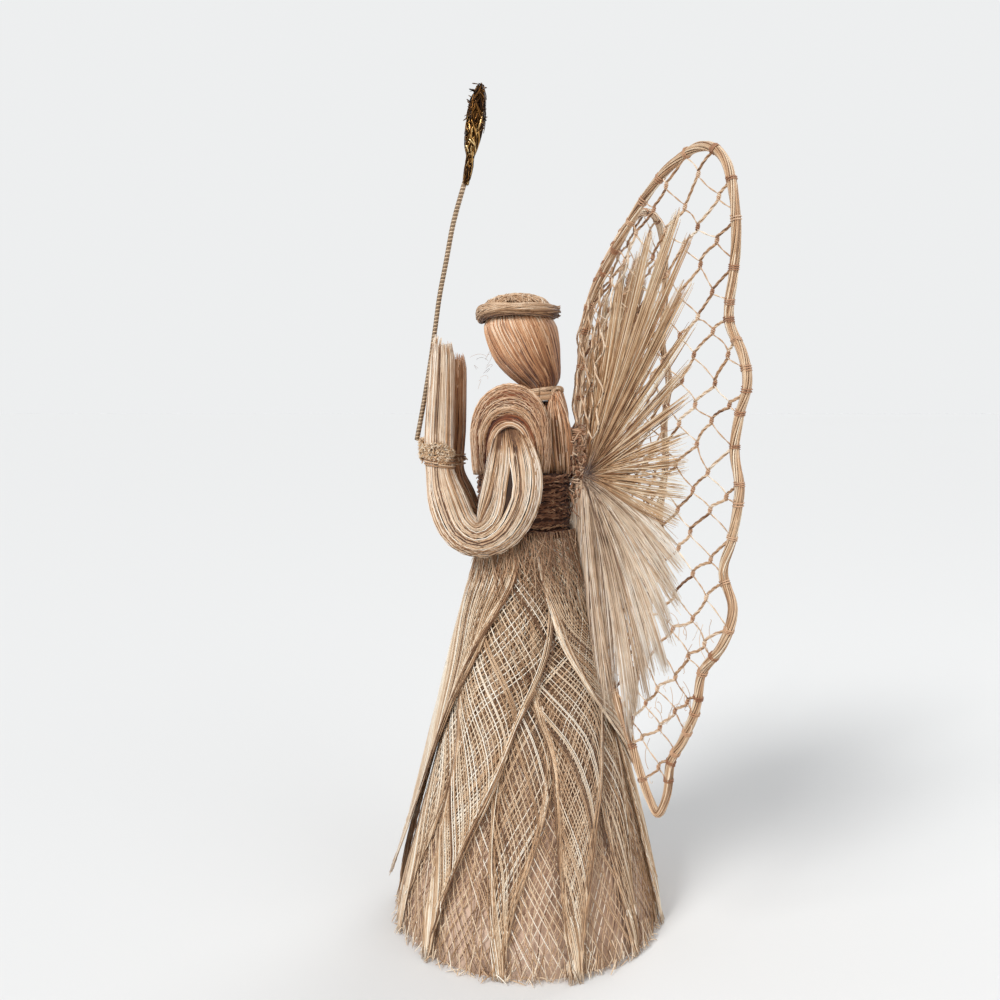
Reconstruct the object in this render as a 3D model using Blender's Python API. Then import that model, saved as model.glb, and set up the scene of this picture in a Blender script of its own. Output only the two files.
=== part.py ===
"""Straw angel tree topper: one rigid piece, modelled in metres with +Z up.

The angel stands on the hem of its skirt and faces -Y, so its left side is +X.
The origin is at floor level, at the centre of the object's bounding box.
All shapes are laid out about the skirt's own upright axis and are moved by
SKIRT_AXIS_Y along Y when their mesh is made.
"""
import math

import bpy
from mathutils import Vector

MM = 0.001

# Placement of the skirt's axis in the object's frame
SKIRT_AXIS_Y = -6.05 * MM

# Skirt: outside radius of the net underskirt against height
SKIRT_PROFILE = [(0, 48.3), (6, 47.9), (14, 46.4), (43, 39.0), (81, 28.8), (118, 19.8), (146, 13.4)]
SKIRT_TOP_Z = 143.4 * MM
NET_HEM_Z = 1.0 * MM
NET_THICKNESS = 0.8 * MM
PLEAT_DEPTH = 0.6 * MM
PLEATS = 18
LAYER_GAP = 0.3 * MM
CARD_THICKNESS = 1.0 * MM
CARD_HEM_WIDTH = 3.0 * MM
CARD_HEM_HEIGHT = 1.6 * MM
PETAL_THICKNESS = 0.75 * MM
PETAL_RIDGE = 0.3 * MM
PETAL_ROLL = 0.35 * MM
PETAL_SLACK = 0.12 * MM
FRONT_TIP_FLARE = 1.6 * MM

# Petal edges: height, then degrees from the petal's tip to its two edges
INNER_PETAL = [(3, -3, 3), (20, -8, 8), (40, -14, 16), (60, -20, 24), (76, -24, 28)]
MIDDLE_PETAL = [(5, -2, 2), (20, -6, 6), (42, -10, 13), (59, -9, 28), (72, -8, 37), (92, -8, 44),
                (120, -6, 50)]
FRONT_PETAL = [(23, -2, 2), (43, -6, 6), (76, -20, 20), (98, -37, 37), (112, -53, 53), (129, -79, 79),
               (143.2, -84, 84)]
BACK_PETAL = [(62, -3, 3), (77, -27, 27), (91, -46, 46), (106, -62, 62), (118, -71, 71), (133, -82, 82),
              (143.2, -86, 86)]
INNER_ROWS = [76, 60, 43, 28, 14, 6, 3]
MIDDLE_ROWS = [118, 100, 81, 62, 43, 28, 14, 6, 5]
FRONT_ROWS = [143.2, 130, 118, 106, 94, 81, 62, 43, 23]
BACK_ROWS = [143.2, 130, 118, 106, 94, 81, 71, 62]
INNER_TIPS_DEG = [-12, 50, 110, 170, 230, 290]
MIDDLE_TIPS_DEG = [-45, 18, 80, 140, 200, 258]

# Waist and torso
WAIST_Z = 143.9 * MM
WAIST_TURNS = 10
WAIST_TURN_HEIGHT = 2.2 * MM
WAIST_GROOVE = 0.7 * MM
WAIST_OUTER_X = 16.0 * MM
WAIST_OUTER_Y = 17.0 * MM
WAIST_CENTRE_Y = -1.6 * MM
TORSO_RADIUS_X = 7.4 * MM
TORSO_RADIUS_Y = 8.6 * MM

# Head, hat and neck
NECK_Z = 194.0 * MM
NECK_CENTRE_Y = 4.0 * MM
NECK_RADIUS = 5.6 * MM
NECK_TIE_INNER = 5.1 * MM
TIE_RADIUS = 0.9 * MM
HEAD_TOP_Z = 221.0 * MM
HAT_Z = 222.6 * MM
HAT_CENTRE_Y = -4.0 * MM
HAT_RIM_RADIUS = 12.9 * MM
HAT_ROPE_RADIUS = 2.3 * MM
HAT_TOP_Z = 228.7 * MM

# Arms and wand
ARM_SIDES = 14
WRIST_X = 6.8 * MM
WRIST_Z = 168.5 * MM
LEFT_WRIST_Y = -31.4 * MM
RIGHT_WRIST_Y = -28.4 * MM
RIGHT_HAND_SHIFT = 3.8
RIGHT_HAND_SHORTER = 3.6
WRIST_INNER = 4.9 * MM
WRIST_STRETCH = 1.12
WRIST_TURN = 2.0 * MM
WAND_RADIUS = 0.8 * MM
WAND_PATH = [(-40.1, 177), (-36.6, 195), (-33.9, 212), (-31.8, 226), (-29.2, 240), (-26.4, 254), (-22.4, 267.6)]
TUFT_PROFILE = [(268.0, 1.5), (272, 2.0), (276, 1.7), (280, 3.2), (285, 4.1), (290, 4.0), (295, 3.4),
                (298.5, 2.2), (300.3, 0.9)]
TUFT_LEAN = [(268.0, -21.9), (279, -20.2), (289, -18.4), (300.3, -16.9)]

# Wings: planes swept back from the sides
WING_SWEEP = math.radians(31)
WING_ROOT_Y = 16.7 * MM
WING_FRAME_RADIUS = 1.5 * MM
UPPER_LASHING_Z = 179.5 * MM
LOWER_LASHING_Z = 167.6 * MM
LASHING_CENTRE_Y = WING_ROOT_Y + 1.4 * MM
LASHING_REACH_X = 5.2 * MM
LASHING_REACH_Y = 3.0 * MM
LASHING_RADIUS = 0.9 * MM
WING_KNOT_RADIUS = 2.05 * MM
WING_KNOTS = 24
# Frame centre line: distance out from the root, then height, in millimetres
WING_FRAME = [(2.8, 164), (2.7, 184), (4.0, 203), (7.6, 220), (15.1, 232.7), (26.1, 244.5), (37.4, 254.8),
              (49.0, 262.2), (61.4, 266.0), (70.5, 264), (77.0, 256), (80.0, 241), (79.3, 227.6),
              (77.9, 214.8), (84.0, 204.6), (86.0, 196), (83.0, 187), (81.6, 177), (84.0, 166),
              (81.5, 152), (78.0, 141), (82.5, 131), (78.6, 119.5), (70.0, 109), (67.6, 97), (61.8, 85),
              (56.0, 76), (54.4, 65), (50.4, 56.6), (45.8, 59.6), (39.9, 67.5), (35.0, 76.3), (27.8, 87),
              (21.5, 98), (15.8, 112), (11.0, 126), (6.6, 143)]
NET_WIDTH = 0.9 * MM
WING_NET_THICKNESS = 0.8 * MM
NET_COLUMN_STEP = 7.4
NET_KNOT_PITCH = 13.2
NET_COLUMN_START = 71.6
NET_KNOT_HEIGHT = 184.6
NET_EDGE_GAP = 0.7
NET_CUTOUT = 51.0
NET_MERGE = 1.1
NET_SMALLEST = 1.5
NET_CLOSED = 9.0

# Fans: gathered at one point, each strand end as distance out and height
FAN_GATHER = (11.5, 166.0)
FAN_START = 5.0
FAN_FRONT = 0.75 * MM
FAN_THICKNESS = 1.3 * MM
FAN_RIDGE = 0.7 * MM
UPPER_FAN = [(9.5, 216), (18.5, 221), (27.5, 229.3), (42.8, 242.7), (56.1, 247.5), (62.7, 239.8),
             (63.1, 226.6), (62.8, 215), (63.0, 201.1), (63.7, 192.7), (61.4, 178.7)]
MIDDLE_FAN = [(62.1, 174.0), (62.8, 163.5), (59.3, 154.1)]
LOWER_FAN = [(61.2, 146.0), (60.1, 131.0), (58.0, 117.1), (54.0, 105.1), (44.0, 90.0), (38.0, 84.0),
             (27.0, 96.0), (17.0, 118.0)]

COLOURS = {
    "card": (0.74, 0.66, 0.60),
    "straw_net": (0.70, 0.55, 0.36),
    "straw_pale": (0.82, 0.70, 0.51),
    "straw_tan": (0.66, 0.46, 0.26),
    "straw_brown": (0.38, 0.22, 0.12),
    "jute": (0.24, 0.15, 0.08),
    "thread": (0.80, 0.63, 0.43),
    "tinsel": (0.42, 0.27, 0.07),
    "glue": (0.72, 0.58, 0.36),
}


def clear_scene():
    for item in list(bpy.data.objects):
        bpy.data.objects.remove(item, do_unlink=True)


def make_collection():
    group = bpy.data.collections.new("straw_angel_tree_topper")
    bpy.context.scene.collection.children.link(group)
    return group


def make_material(name):
    colour = COLOURS[name]
    material = bpy.data.materials.new(name)
    material.use_nodes = True
    shader = material.node_tree.nodes["Principled BSDF"]
    shader.inputs["Base Color"].default_value = (*colour, 1.0)
    shader.inputs["Roughness"].default_value = 0.35 if name == "tinsel" else 0.8
    shader.inputs["Metallic"].default_value = 0.8 if name == "tinsel" else 0.0
    return material


def signed_volume(points, faces):
    """Volume of a closed mesh, negative when its faces point inwards."""
    total = 0.0
    for face in faces:
        corner = Vector(points[face[0]])
        for k in range(1, len(face) - 1):
            total += corner.dot(Vector(points[face[k]]).cross(Vector(points[face[k + 1]])))
    return total / 6


def add_mesh(name, points, faces, material, smooth=True):
    """Make one named object, moved from the skirt's axis to the object's frame."""
    if signed_volume(points, faces) < 0:
        faces = [tuple(reversed(face)) for face in faces]
    mesh = bpy.data.meshes.new(name)
    mesh.from_pydata([(p[0], p[1] + SKIRT_AXIS_Y, p[2]) for p in points], [], faces)
    mesh.validate()
    mesh.polygons.foreach_set("use_smooth", [smooth] * len(mesh.polygons))
    mesh.materials.append(MATERIALS[material])
    item = bpy.data.objects.new(name, mesh)
    GROUP.objects.link(item)
    return item


def table(rows, x, column=1):
    """Straight-line value from rows sorted by their first number."""
    if x <= rows[0][0]:
        return rows[0][column]
    for low, high in zip(rows, rows[1:]):
        if x <= high[0]:
            share = (x - low[0]) / (high[0] - low[0])
            return low[column] + share * (high[column] - low[column])
    return rows[-1][column]


def skirt_radius(z):
    return table(SKIRT_PROFILE, z / MM) * MM


# Solids from rings of points

def ring_faces(rings, sides, closed):
    """Quads between rings of points, with flat ends unless the rings close on themselves."""
    faces = []
    spans = rings if closed else rings - 1
    for r in range(spans):
        a = r * sides
        b = ((r + 1) % rings) * sides
        for s in range(sides):
            t = (s + 1) % sides
            faces.append((a + s, a + t, b + t, b + s))
    if not closed:
        faces.append(tuple(reversed(range(sides))))
        faces.append(tuple(range((rings - 1) * sides, rings * sides)))
    return faces


def sweep(path, sizes, sides, side_axis=(1, 0, 0), closed=False, ridge=0.0, ridges=0, twist=0.0, level=False):
    """Points of a tube: sizes are half widths along side_axis and across it, level rings lie flat."""
    points = []
    count = len(path)
    for i, centre in enumerate(path):
        ahead = path[(i + 1) % count] if closed or i + 1 < count else path[i]
        behind = path[i - 1] if closed or i > 0 else path[i]
        tangent = Vector((0, 0, 1)) if level else (Vector(ahead) - Vector(behind)).normalized()
        first = Vector(side_axis) - tangent * tangent.dot(Vector(side_axis))
        first.normalize()
        second = tangent.cross(first)
        half_a, half_b = sizes[i]
        for s in range(sides):
            angle = 2 * math.pi * s / sides
            swell = 1 + ridge * math.cos(ridges * angle)
            turn = angle + twist * i
            across = first * (half_a * swell * math.cos(turn)) + second * (half_b * swell * math.sin(turn))
            points.append(Vector(centre) + across)
    return points


def tube(name, path, sizes, sides, material, side_axis=(1, 0, 0), closed=False, ridge=0.0, ridges=0, twist=0.0,
         level=False):
    points = sweep(path, sizes, sides, side_axis, closed, ridge, ridges, twist, level)
    return add_mesh(name, points, ring_faces(len(path), sides, closed), material)


def revolve(name, profile, sides, material, scale_y=1.0, centre_y=0.0, pleats=None):
    """Closed wall from a loop of (radius, height) points, stretched along Y by scale_y."""
    points = []
    count = len(profile)
    for s in range(sides):
        angle = 2 * math.pi * s / sides
        for k, (radius, height) in enumerate(profile):
            r = radius + (pleats(k, s) if pleats else 0.0)
            points.append((r * math.cos(angle), centre_y + r * scale_y * math.sin(angle), height))
    faces = []
    for s in range(sides):
        a = s * count
        b = ((s + 1) % sides) * count
        for k in range(count):
            j = (k + 1) % count
            faces.append((a + k, b + k, b + j, a + j))
    return add_mesh(name, points, faces, material)


def sheet(name, rows, columns, point_pair, material, smooth=True):
    """Closed thin solid from a grid: point_pair gives its front and back point."""
    front = []
    back = []
    for r in range(rows):
        for c in range(columns):
            outer, inner = point_pair(r, c)
            front.append(outer)
            back.append(inner)
    shift = rows * columns
    faces = []
    for r in range(rows - 1):
        for c in range(columns - 1):
            a = r * columns + c
            b = a + 1
            d = a + columns
            e = d + 1
            faces.append((a, b, e, d))
            faces.append((a + shift, d + shift, e + shift, b + shift))
    rim = [c for c in range(columns)]
    rim += [r * columns + columns - 1 for r in range(1, rows)]
    rim += [(rows - 1) * columns + c for c in range(columns - 2, -1, -1)]
    rim += [r * columns for r in range(rows - 2, 0, -1)]
    for k, a in enumerate(rim):
        b = rim[(k + 1) % len(rim)]
        faces.append((b, a, a + shift, b + shift))
    return add_mesh(name, front + back, faces, material, smooth)


# Skirt

def card_cone():
    """Plain hollow card cone with a turned hem that the angel stands on."""
    inset = NET_THICKNESS + PLEAT_DEPTH + LAYER_GAP
    heights = [CARD_HEM_HEIGHT, 14 * MM, 43 * MM, 81 * MM, 118 * MM, SKIRT_TOP_Z]
    outer = [(skirt_radius(z) - inset, z) for z in heights]
    inner = [(r - CARD_THICKNESS, z) for r, z in reversed(outer)]
    foot = outer[0][0]
    profile = [(foot, 0.0)] + outer + inner[:-1]
    profile += [(foot - CARD_HEM_WIDTH, CARD_HEM_HEIGHT), (foot - CARD_HEM_WIDTH, 0.0)]
    revolve("card_cone", profile, 32, "card")


def net_underskirt():
    heights = [NET_HEM_Z, 6 * MM, 14 * MM, 43 * MM, 81 * MM, 118 * MM, SKIRT_TOP_Z]
    outer = [(skirt_radius(z) - PLEAT_DEPTH / 2, z) for z in heights]
    wall = NET_THICKNESS + PLEAT_DEPTH / 2
    inner = [(skirt_radius(z) - PLEAT_DEPTH / 2 - wall, z) for z in reversed(heights)]

    def fold(k, s):
        wave = PLEAT_DEPTH / 2 if s % 2 == 0 else -PLEAT_DEPTH / 2
        return wave if k < len(heights) else 0.0

    revolve("net_underskirt", outer + inner, 2 * PLEATS, "straw_net", pleats=fold)


def petal(name, edges, heights, tip_deg, lift, columns, material, flare=0.0):
    """Leaf shaped net panel that lies on the skirt, rolled along both edges."""
    rows = len(heights)

    def pair(r, c):
        z = heights[r]
        left = table(edges, z, 1)
        right = table(edges, z, 2)
        share = c / (columns - 1)
        angle = math.radians(tip_deg + left + (right - left) * share)
        base = skirt_radius(z * MM) + lift + flare * (r / (rows - 1)) ** 4
        grain = PETAL_RIDGE if c % 2 == 0 else 0.0
        roll = PETAL_ROLL if c in (0, columns - 1) else 0.0
        outer = base + PETAL_THICKNESS - PETAL_RIDGE + grain + roll
        spot = (math.cos(angle), math.sin(angle))
        return ((outer * spot[0], outer * spot[1], z * MM), (base * spot[0], base * spot[1], z * MM))

    sheet(name, rows, columns, pair, material)


def petals():
    step = PETAL_THICKNESS + PETAL_ROLL + LAYER_GAP + PETAL_SLACK
    for i, tip in enumerate(INNER_TIPS_DEG):
        petal(f"inner_petal_{i + 1}", INNER_PETAL, INNER_ROWS, tip, LAYER_GAP, 7, "straw_net")
    for i, tip in enumerate(MIDDLE_TIPS_DEG):
        petal(f"middle_petal_{i + 1}", MIDDLE_PETAL, MIDDLE_ROWS, tip, LAYER_GAP + step, 7, "straw_net")
    petal("front_petal", FRONT_PETAL, FRONT_ROWS, -91, LAYER_GAP + 2 * step, 15, "straw_pale", FRONT_TIP_FLARE)
    petal("back_petal", BACK_PETAL, BACK_ROWS, 91, LAYER_GAP + 2 * step, 15, "straw_pale")


# Waist, torso and sleeves

def waist_wrap():
    """Stacked turns of jute twine round the waist."""
    reach = WAIST_OUTER_X
    stretch = WAIST_OUTER_Y / WAIST_OUTER_X
    profile = []
    for i in range(WAIST_TURNS):
        base = WAIST_Z + i * WAIST_TURN_HEIGHT
        profile.append((reach - WAIST_GROOVE, base))
        profile.append((reach, base + WAIST_TURN_HEIGHT / 2))
    top = WAIST_Z + WAIST_TURNS * WAIST_TURN_HEIGHT
    profile.append((reach - WAIST_GROOVE, top))
    core = TORSO_RADIUS_Y / stretch + 2.2 * MM
    profile += [(core, top), (core, WAIST_Z)]
    revolve("waist_wrap", profile, 24, "jute", stretch, WAIST_CENTRE_Y)


def torso_core():
    """Bundle that carries the head, from inside the skirt up to the neck."""
    # height, share of the full radius, centre along Y
    rows = [(128, 0.95, 0.0), (143, 1.0, 0.0), (165, 1.0, 0.0), (184, 1.0, -0.2), (187.6, 0.92, 0.2),
            (190.6, 0.6, 2.4)]
    path = [(0, y * MM, z * MM) for z, share, y in rows]
    sizes = [(TORSO_RADIUS_X * share, TORSO_RADIUS_Y * share) for z, share, y in rows]
    tube("torso_core", path, sizes, 16, "straw_brown", ridge=0.03, ridges=8, level=True)


def sleeve(side, word):
    """Rolled net arch over the shoulder, both ends standing on the waist wrap."""
    # out from the middle, along Y, height, half width across the arch, half width outwards
    rows = [(8.4, -16.2, 166.2, 2.8, 2.8), (8.6, -16.4, 168.4, 3.2, 3.1), (10.4, -16.8, 174.5, 3.1, 3.9),
            (12.4, -16.6, 181.5, 3.4, 4.6), (13.2, -13.0, 188.2, 4.9, 5.2), (13.4, -6.6, 190.9, 6.1, 5.4),
            (13.3, -0.4, 188.4, 5.3, 5.2), (12.9, 3.4, 181.8, 3.9, 4.7), (11.6, 4.6, 174.5, 3.0, 4.0),
            (10.2, 4.6, 168.4, 2.6, 2.9), (10.2, 4.6, 166.2, 2.4, 2.4)]
    path = [(side * x * MM, y * MM, z * MM) for x, y, z, a, b in rows]
    sizes = [(b * MM, a * MM) for x, y, z, a, b in rows]
    tube(f"{word}_sleeve", path, sizes, 12, "straw_tan", ridge=0.03, ridges=6)


# Arms, wrists and wand

def arm(side, word, material, shift, shorter):
    """Flat fibre bundle: down from the sleeve, round the elbow and up to the raised hand."""
    # out from the middle, along Y, height, half width outwards, half width across
    rows = [(12.6, -7.0, 183.4, 1.6, 3.2), (14.8, -6.5, 180, 1.8, 4.1), (18.0, -5.4, 174.5, 2.3, 7.0),
            (20.6, -4.9, 166, 3.1, 9.2), (21.6, -6.0, 157, 3.4, 9.2), (21.0, -10.0, 148.4, 3.8, 7.8),
            (18.9, -17.0, 144.3, 4.2, 6.5), (16.3, -23.9, 147.6, 4.3, 6.6), (12.0, -28.4, 156.8, 4.4, 6.3),
            (7.2, -31.0, 165.6, 4.0, 4.6), (6.6, -31.5, 174.5, 4.0, 4.7), (5.6, -31.8, 181, 4.2, 5.0),
            (5.3, -31.6, 195, 4.6, 5.1), (5.3, -31.3, 207 - shorter, 4.6, 4.9),
            (5.3, -31.6, 214.6 - shorter, 3.6, 3.2)]
    path = []
    for x, y, z, out, across in rows:
        reach = min(1.0, max(0.0, (z - 140) / 40)) if y < -20 else 0.0
        path.append((side * x * MM, (y + shift * reach) * MM, z * MM))
    sizes = [(out * MM, across * MM) for x, y, z, out, across in rows]
    tube(f"{word}_arm", path, sizes, ARM_SIDES, material, ridge=0.04, ridges=7)


def wrist_tie(side, word, y, z):
    """Two turns of thread round a wrist."""
    top = z + 2 * WRIST_TURN
    inner = WRIST_INNER
    groove = WRIST_INNER + 0.3 * MM
    crest = WRIST_INNER + 1.0 * MM
    profile = [(groove, z), (crest, z + 0.5 * WRIST_TURN), (groove, z + WRIST_TURN),
               (crest, z + 1.5 * WRIST_TURN), (groove, top), (inner, top), (inner, z)]
    item = revolve(f"{word}_wrist_tie", profile, 16, "thread", WRIST_STRETCH, y)
    for vertex in item.data.vertices:
        vertex.co.x += side * WRIST_X


def wand():
    path = [(0, y * MM, z * MM) for y, z in WAND_PATH]
    tube("wand", path, [(WAND_RADIUS, WAND_RADIUS)] * len(path), 8, "tinsel")


def tinsel_tuft():
    """Twisted clump of tinsel on the wand's end."""
    path = [(0, table(TUFT_LEAN, z) * MM, z * MM) for z, r in TUFT_PROFILE]
    sizes = [(r * MM, r * MM) for z, r in TUFT_PROFILE]
    tube("tinsel_tuft", path, sizes, 12, "tinsel", ridge=0.22, ridges=4, twist=0.45)


def wrist_glue():
    """Bead of glue that holds the wand's foot to the wrist."""
    # out, along Y, height, half width
    rows = [(1.8, -37.5, 172.8, 1.8), (1.8, -37.5, 173.7, 3.0), (1.6, -37.7, 175.0, 3.4), (0.9, -38.4, 176.0, 2.4),
            (0.2, -39.1, 176.6, 1.2)]
    path = [(x * MM, y * MM, z * MM) for x, y, z, r in rows]
    sizes = [(r * MM, r * 0.8 * MM) for x, y, z, r in rows]
    tube("wrist_glue", path, sizes, 8, "glue")


# Head, hat and neck

def head():
    """Fibre bundle folded over into an egg, gathered at the neck."""
    # height, centre along Y, half width
    neck = NECK_Z / MM
    rows = [(neck - 2.8, 4.0, 5.0), (neck - 2.0, 4.0, 4.5), (neck + 2.8, 4.0, 4.5), (198.2, 2.8, 7.8),
            (201.5, 1.2, 9.8), (206, -0.6, 11.6), (212, -2.0, 12.6), (217.5, -3.0, 12.6),
            (HEAD_TOP_Z / MM - 0.3, -3.0, 9.9)]
    path = [(0, y * MM, z * MM) for z, y, r in rows]
    sizes = [(r * MM, r * MM) for z, y, r in rows]
    tube("head", path, sizes, 24, "straw_tan", ridge=0.02, ridges=12, twist=0.06, level=True)


def neck_tie():
    profile = []
    for i in range(2):
        base = NECK_Z - 1.8 * MM + i * 1.8 * MM
        profile.append((NECK_RADIUS, base))
        profile.append((NECK_RADIUS + TIE_RADIUS, base + 0.9 * MM))
    profile.append((NECK_RADIUS, NECK_Z + 1.8 * MM))
    profile += [(NECK_TIE_INNER, NECK_Z + 1.4 * MM), (NECK_TIE_INNER, NECK_Z - 1.4 * MM)]
    revolve("neck_tie", profile, 16, "thread", 1.0, NECK_CENTRE_Y)


def neck_bundle():
    """Fibres left over from the head, laid down the back."""
    # height, centre along Y, half width, half thickness
    rows = [(190.6, 11.0, 4.4, 2.1), (186, 11.5, 6.0, 2.3), (179, 11.5, 6.0, 2.1), (172, 11.3, 4.8, 1.9),
            (168, 11.2, 4.2, 1.7), (166.3, 11.2, 3.8, 1.5)]
    path = [(0, y * MM, z * MM) for z, y, wide, thick in rows]
    sizes = [(wide * MM, thick * MM) for z, y, wide, thick in rows]
    tube("neck_bundle", path, sizes, 12, "straw_tan", ridge=0.05, ridges=6)


def hat_rim():
    """Twisted rope ring of two strands laid round the head."""
    steps = 32
    twist = 2 * math.pi * 8 / steps
    points = []
    sides = 6
    for i in range(steps):
        angle = 2 * math.pi * i / steps
        for s in range(sides):
            turn = 2 * math.pi * s / sides
            lobe = 1 + 0.14 * math.cos(2 * (turn - twist * i / 2))
            r = HAT_RIM_RADIUS + HAT_ROPE_RADIUS * lobe * math.cos(turn)
            points.append((r * math.cos(angle), HAT_CENTRE_Y + r * math.sin(angle),
                           HAT_Z + HAT_ROPE_RADIUS * lobe * math.sin(turn)))
    add_mesh("hat_rim", points, ring_faces(steps, sides, True), "straw_brown")


def hat_crown():
    """Shallow woven dome that fills the rim."""
    # height above the rim's middle, share of the width inside the rim
    rows = [(-1.0, 0.94), (1.5, 0.97), (3.4, 0.87), (5.0, 0.64), ((HAT_TOP_Z - HAT_Z) / MM, 0.28)]
    inner = HAT_RIM_RADIUS - HAT_ROPE_RADIUS
    path = [(0, HAT_CENTRE_Y, HAT_Z + z * MM) for z, share in rows]
    sizes = [(share * inner, share * inner) for z, share in rows]
    tube("hat_crown", path, sizes, 20, "straw_pale", ridge=0.015, ridges=10)


# Wings

def wing_point(side, out, height, front=0.0):
    """Point on a wing's plane: metres out from the root, height, and towards its front face."""
    x = side * (out * math.cos(WING_SWEEP) + front * math.sin(WING_SWEEP))
    y = WING_ROOT_Y + out * math.sin(WING_SWEEP) - front * math.cos(WING_SWEEP)
    return (x, y, height)


def smooth_loop(points, share, index):
    """Point of a closed Catmull-Rom curve through the given points."""
    p = [Vector(points[(index + k) % len(points)]) for k in (-1, 0, 1, 2)]
    t = share
    return 0.5 * (2 * p[1] + (p[2] - p[0]) * t + (2 * p[0] - 5 * p[1] + 4 * p[2] - p[3]) * t * t
                  + (3 * p[1] - p[0] - 3 * p[2] + p[3]) * t * t * t)


def loop_stations(points, marks):
    """Points at the given shares of a closed curve's length."""
    fine = [smooth_loop(points, k / 8, i) for i in range(len(points)) for k in range(8)]
    lengths = [0.0]
    for i in range(len(fine)):
        lengths.append(lengths[-1] + (fine[(i + 1) % len(fine)] - fine[i]).length)
    found = []
    i = 0
    for mark in marks:
        goal = mark * lengths[-1]
        while lengths[i + 1] < goal:
            i += 1
        share = (goal - lengths[i]) / (lengths[i + 1] - lengths[i])
        found.append(fine[i].lerp(fine[(i + 1) % len(fine)], share))
    return found


def wing_frame(side, word):
    """Fibre wrapped rod bent to the wing's outline, knotted at even steps."""
    step = 1.0 / WING_KNOTS
    marks = []
    radii = []
    for k in range(WING_KNOTS):
        marks += [step * (k + share) for share in (0.0, 0.1, 0.5, 0.9)]
        radii += [WING_KNOT_RADIUS] + [WING_FRAME_RADIUS] * 3
    stations = loop_stations(WING_FRAME, marks)
    path = [Vector(wing_point(side, p.x * MM, p.y * MM)) for p in stations]
    normal = Vector(wing_point(side, 0, 0, 1)) - Vector(wing_point(side, 0, 0, 0))
    tube(f"{word}_wing_frame", path, [(r, r) for r in radii], 5, "straw_tan", normal, True)


def clip(points, edge_a, edge_b):
    """Keep the part of a polygon that lies to the left of a line."""
    kept = []
    along = (edge_b[0] - edge_a[0], edge_b[1] - edge_a[1])

    def left_of(p):
        return along[0] * (p[1] - edge_a[1]) - along[1] * (p[0] - edge_a[0])

    for i, p in enumerate(points):
        q = points[(i + 1) % len(points)]
        here = left_of(p)
        there = left_of(q)
        if here >= 0:
            kept.append(p)
        if (here > 0 > there) or (here < 0 < there):
            share = here / (here - there)
            kept.append((p[0] + share * (q[0] - p[0]), p[1] + share * (q[1] - p[1])))
    return kept


def inset_loop(points, distance):
    """Move every side of an anticlockwise polygon inwards by a distance."""
    moved = []
    count = len(points)
    for i in range(count):
        before = Vector(points[i]) - Vector(points[i - 1])
        after = Vector(points[(i + 1) % count]) - Vector(points[i])
        before.normalize()
        after.normalize()
        normal_a = Vector((-before.y, before.x))
        normal_b = Vector((-after.y, after.x))
        mid = (normal_a + normal_b).normalized()
        reach = distance / max(0.35, mid.dot(normal_a))
        moved.append(Vector(points[i]) + mid * reach)
    return moved


def area(points):
    total = 0.0
    for i, p in enumerate(points):
        q = points[(i + 1) % len(points)]
        total += p[0] * q[1] - p[1] * q[0]
    return total / 2


def net_cells():
    """Diamond meshes in staggered columns, cut to the frame and left out behind the fans' root."""
    outline = list(WING_FRAME)
    if area(outline) < 0:
        outline.reverse()
    edge = WING_FRAME_RADIUS / MM + NET_EDGE_GAP
    outline = [tuple(p) for p in inset_loop(outline, edge)]
    half = NET_KNOT_PITCH / 2
    cells = []
    for column in range(-11, 3):
        for row in range(-12, 9):
            x = NET_COLUMN_START + column * NET_COLUMN_STEP
            z = NET_KNOT_HEIGHT + row * NET_KNOT_PITCH + (half if column % 2 else 0.0)
            mesh = [(x, z - half), (x + NET_COLUMN_STEP, z), (x, z + half), (x - NET_COLUMN_STEP, z)]
            shape = outline
            for k in range(4):
                shape = clip(shape, mesh[k], mesh[(k + 1) % 4])
                if len(shape) < 3:
                    break
            if len(shape) >= 3 and math.dist((x, z), FAN_GATHER) > NET_CUTOUT:
                cells.append(shape)
    return cells


def shared_cells(cells):
    """Number the corners of the cells, with corners closer than NET_MERGE made one."""
    corners = []
    numbered = []
    for cell in cells:
        loop = []
        for p in cell:
            near = [i for i, q in enumerate(corners) if math.dist(p, q) < NET_MERGE]
            if not near:
                corners.append(tuple(p))
            number = near[0] if near else len(corners) - 1
            if number not in loop:
                loop.append(number)
        if len(loop) > 2 and area([corners[i] for i in loop]) > NET_SMALLEST:
            numbered.append(loop)
    return corners, numbered


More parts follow.
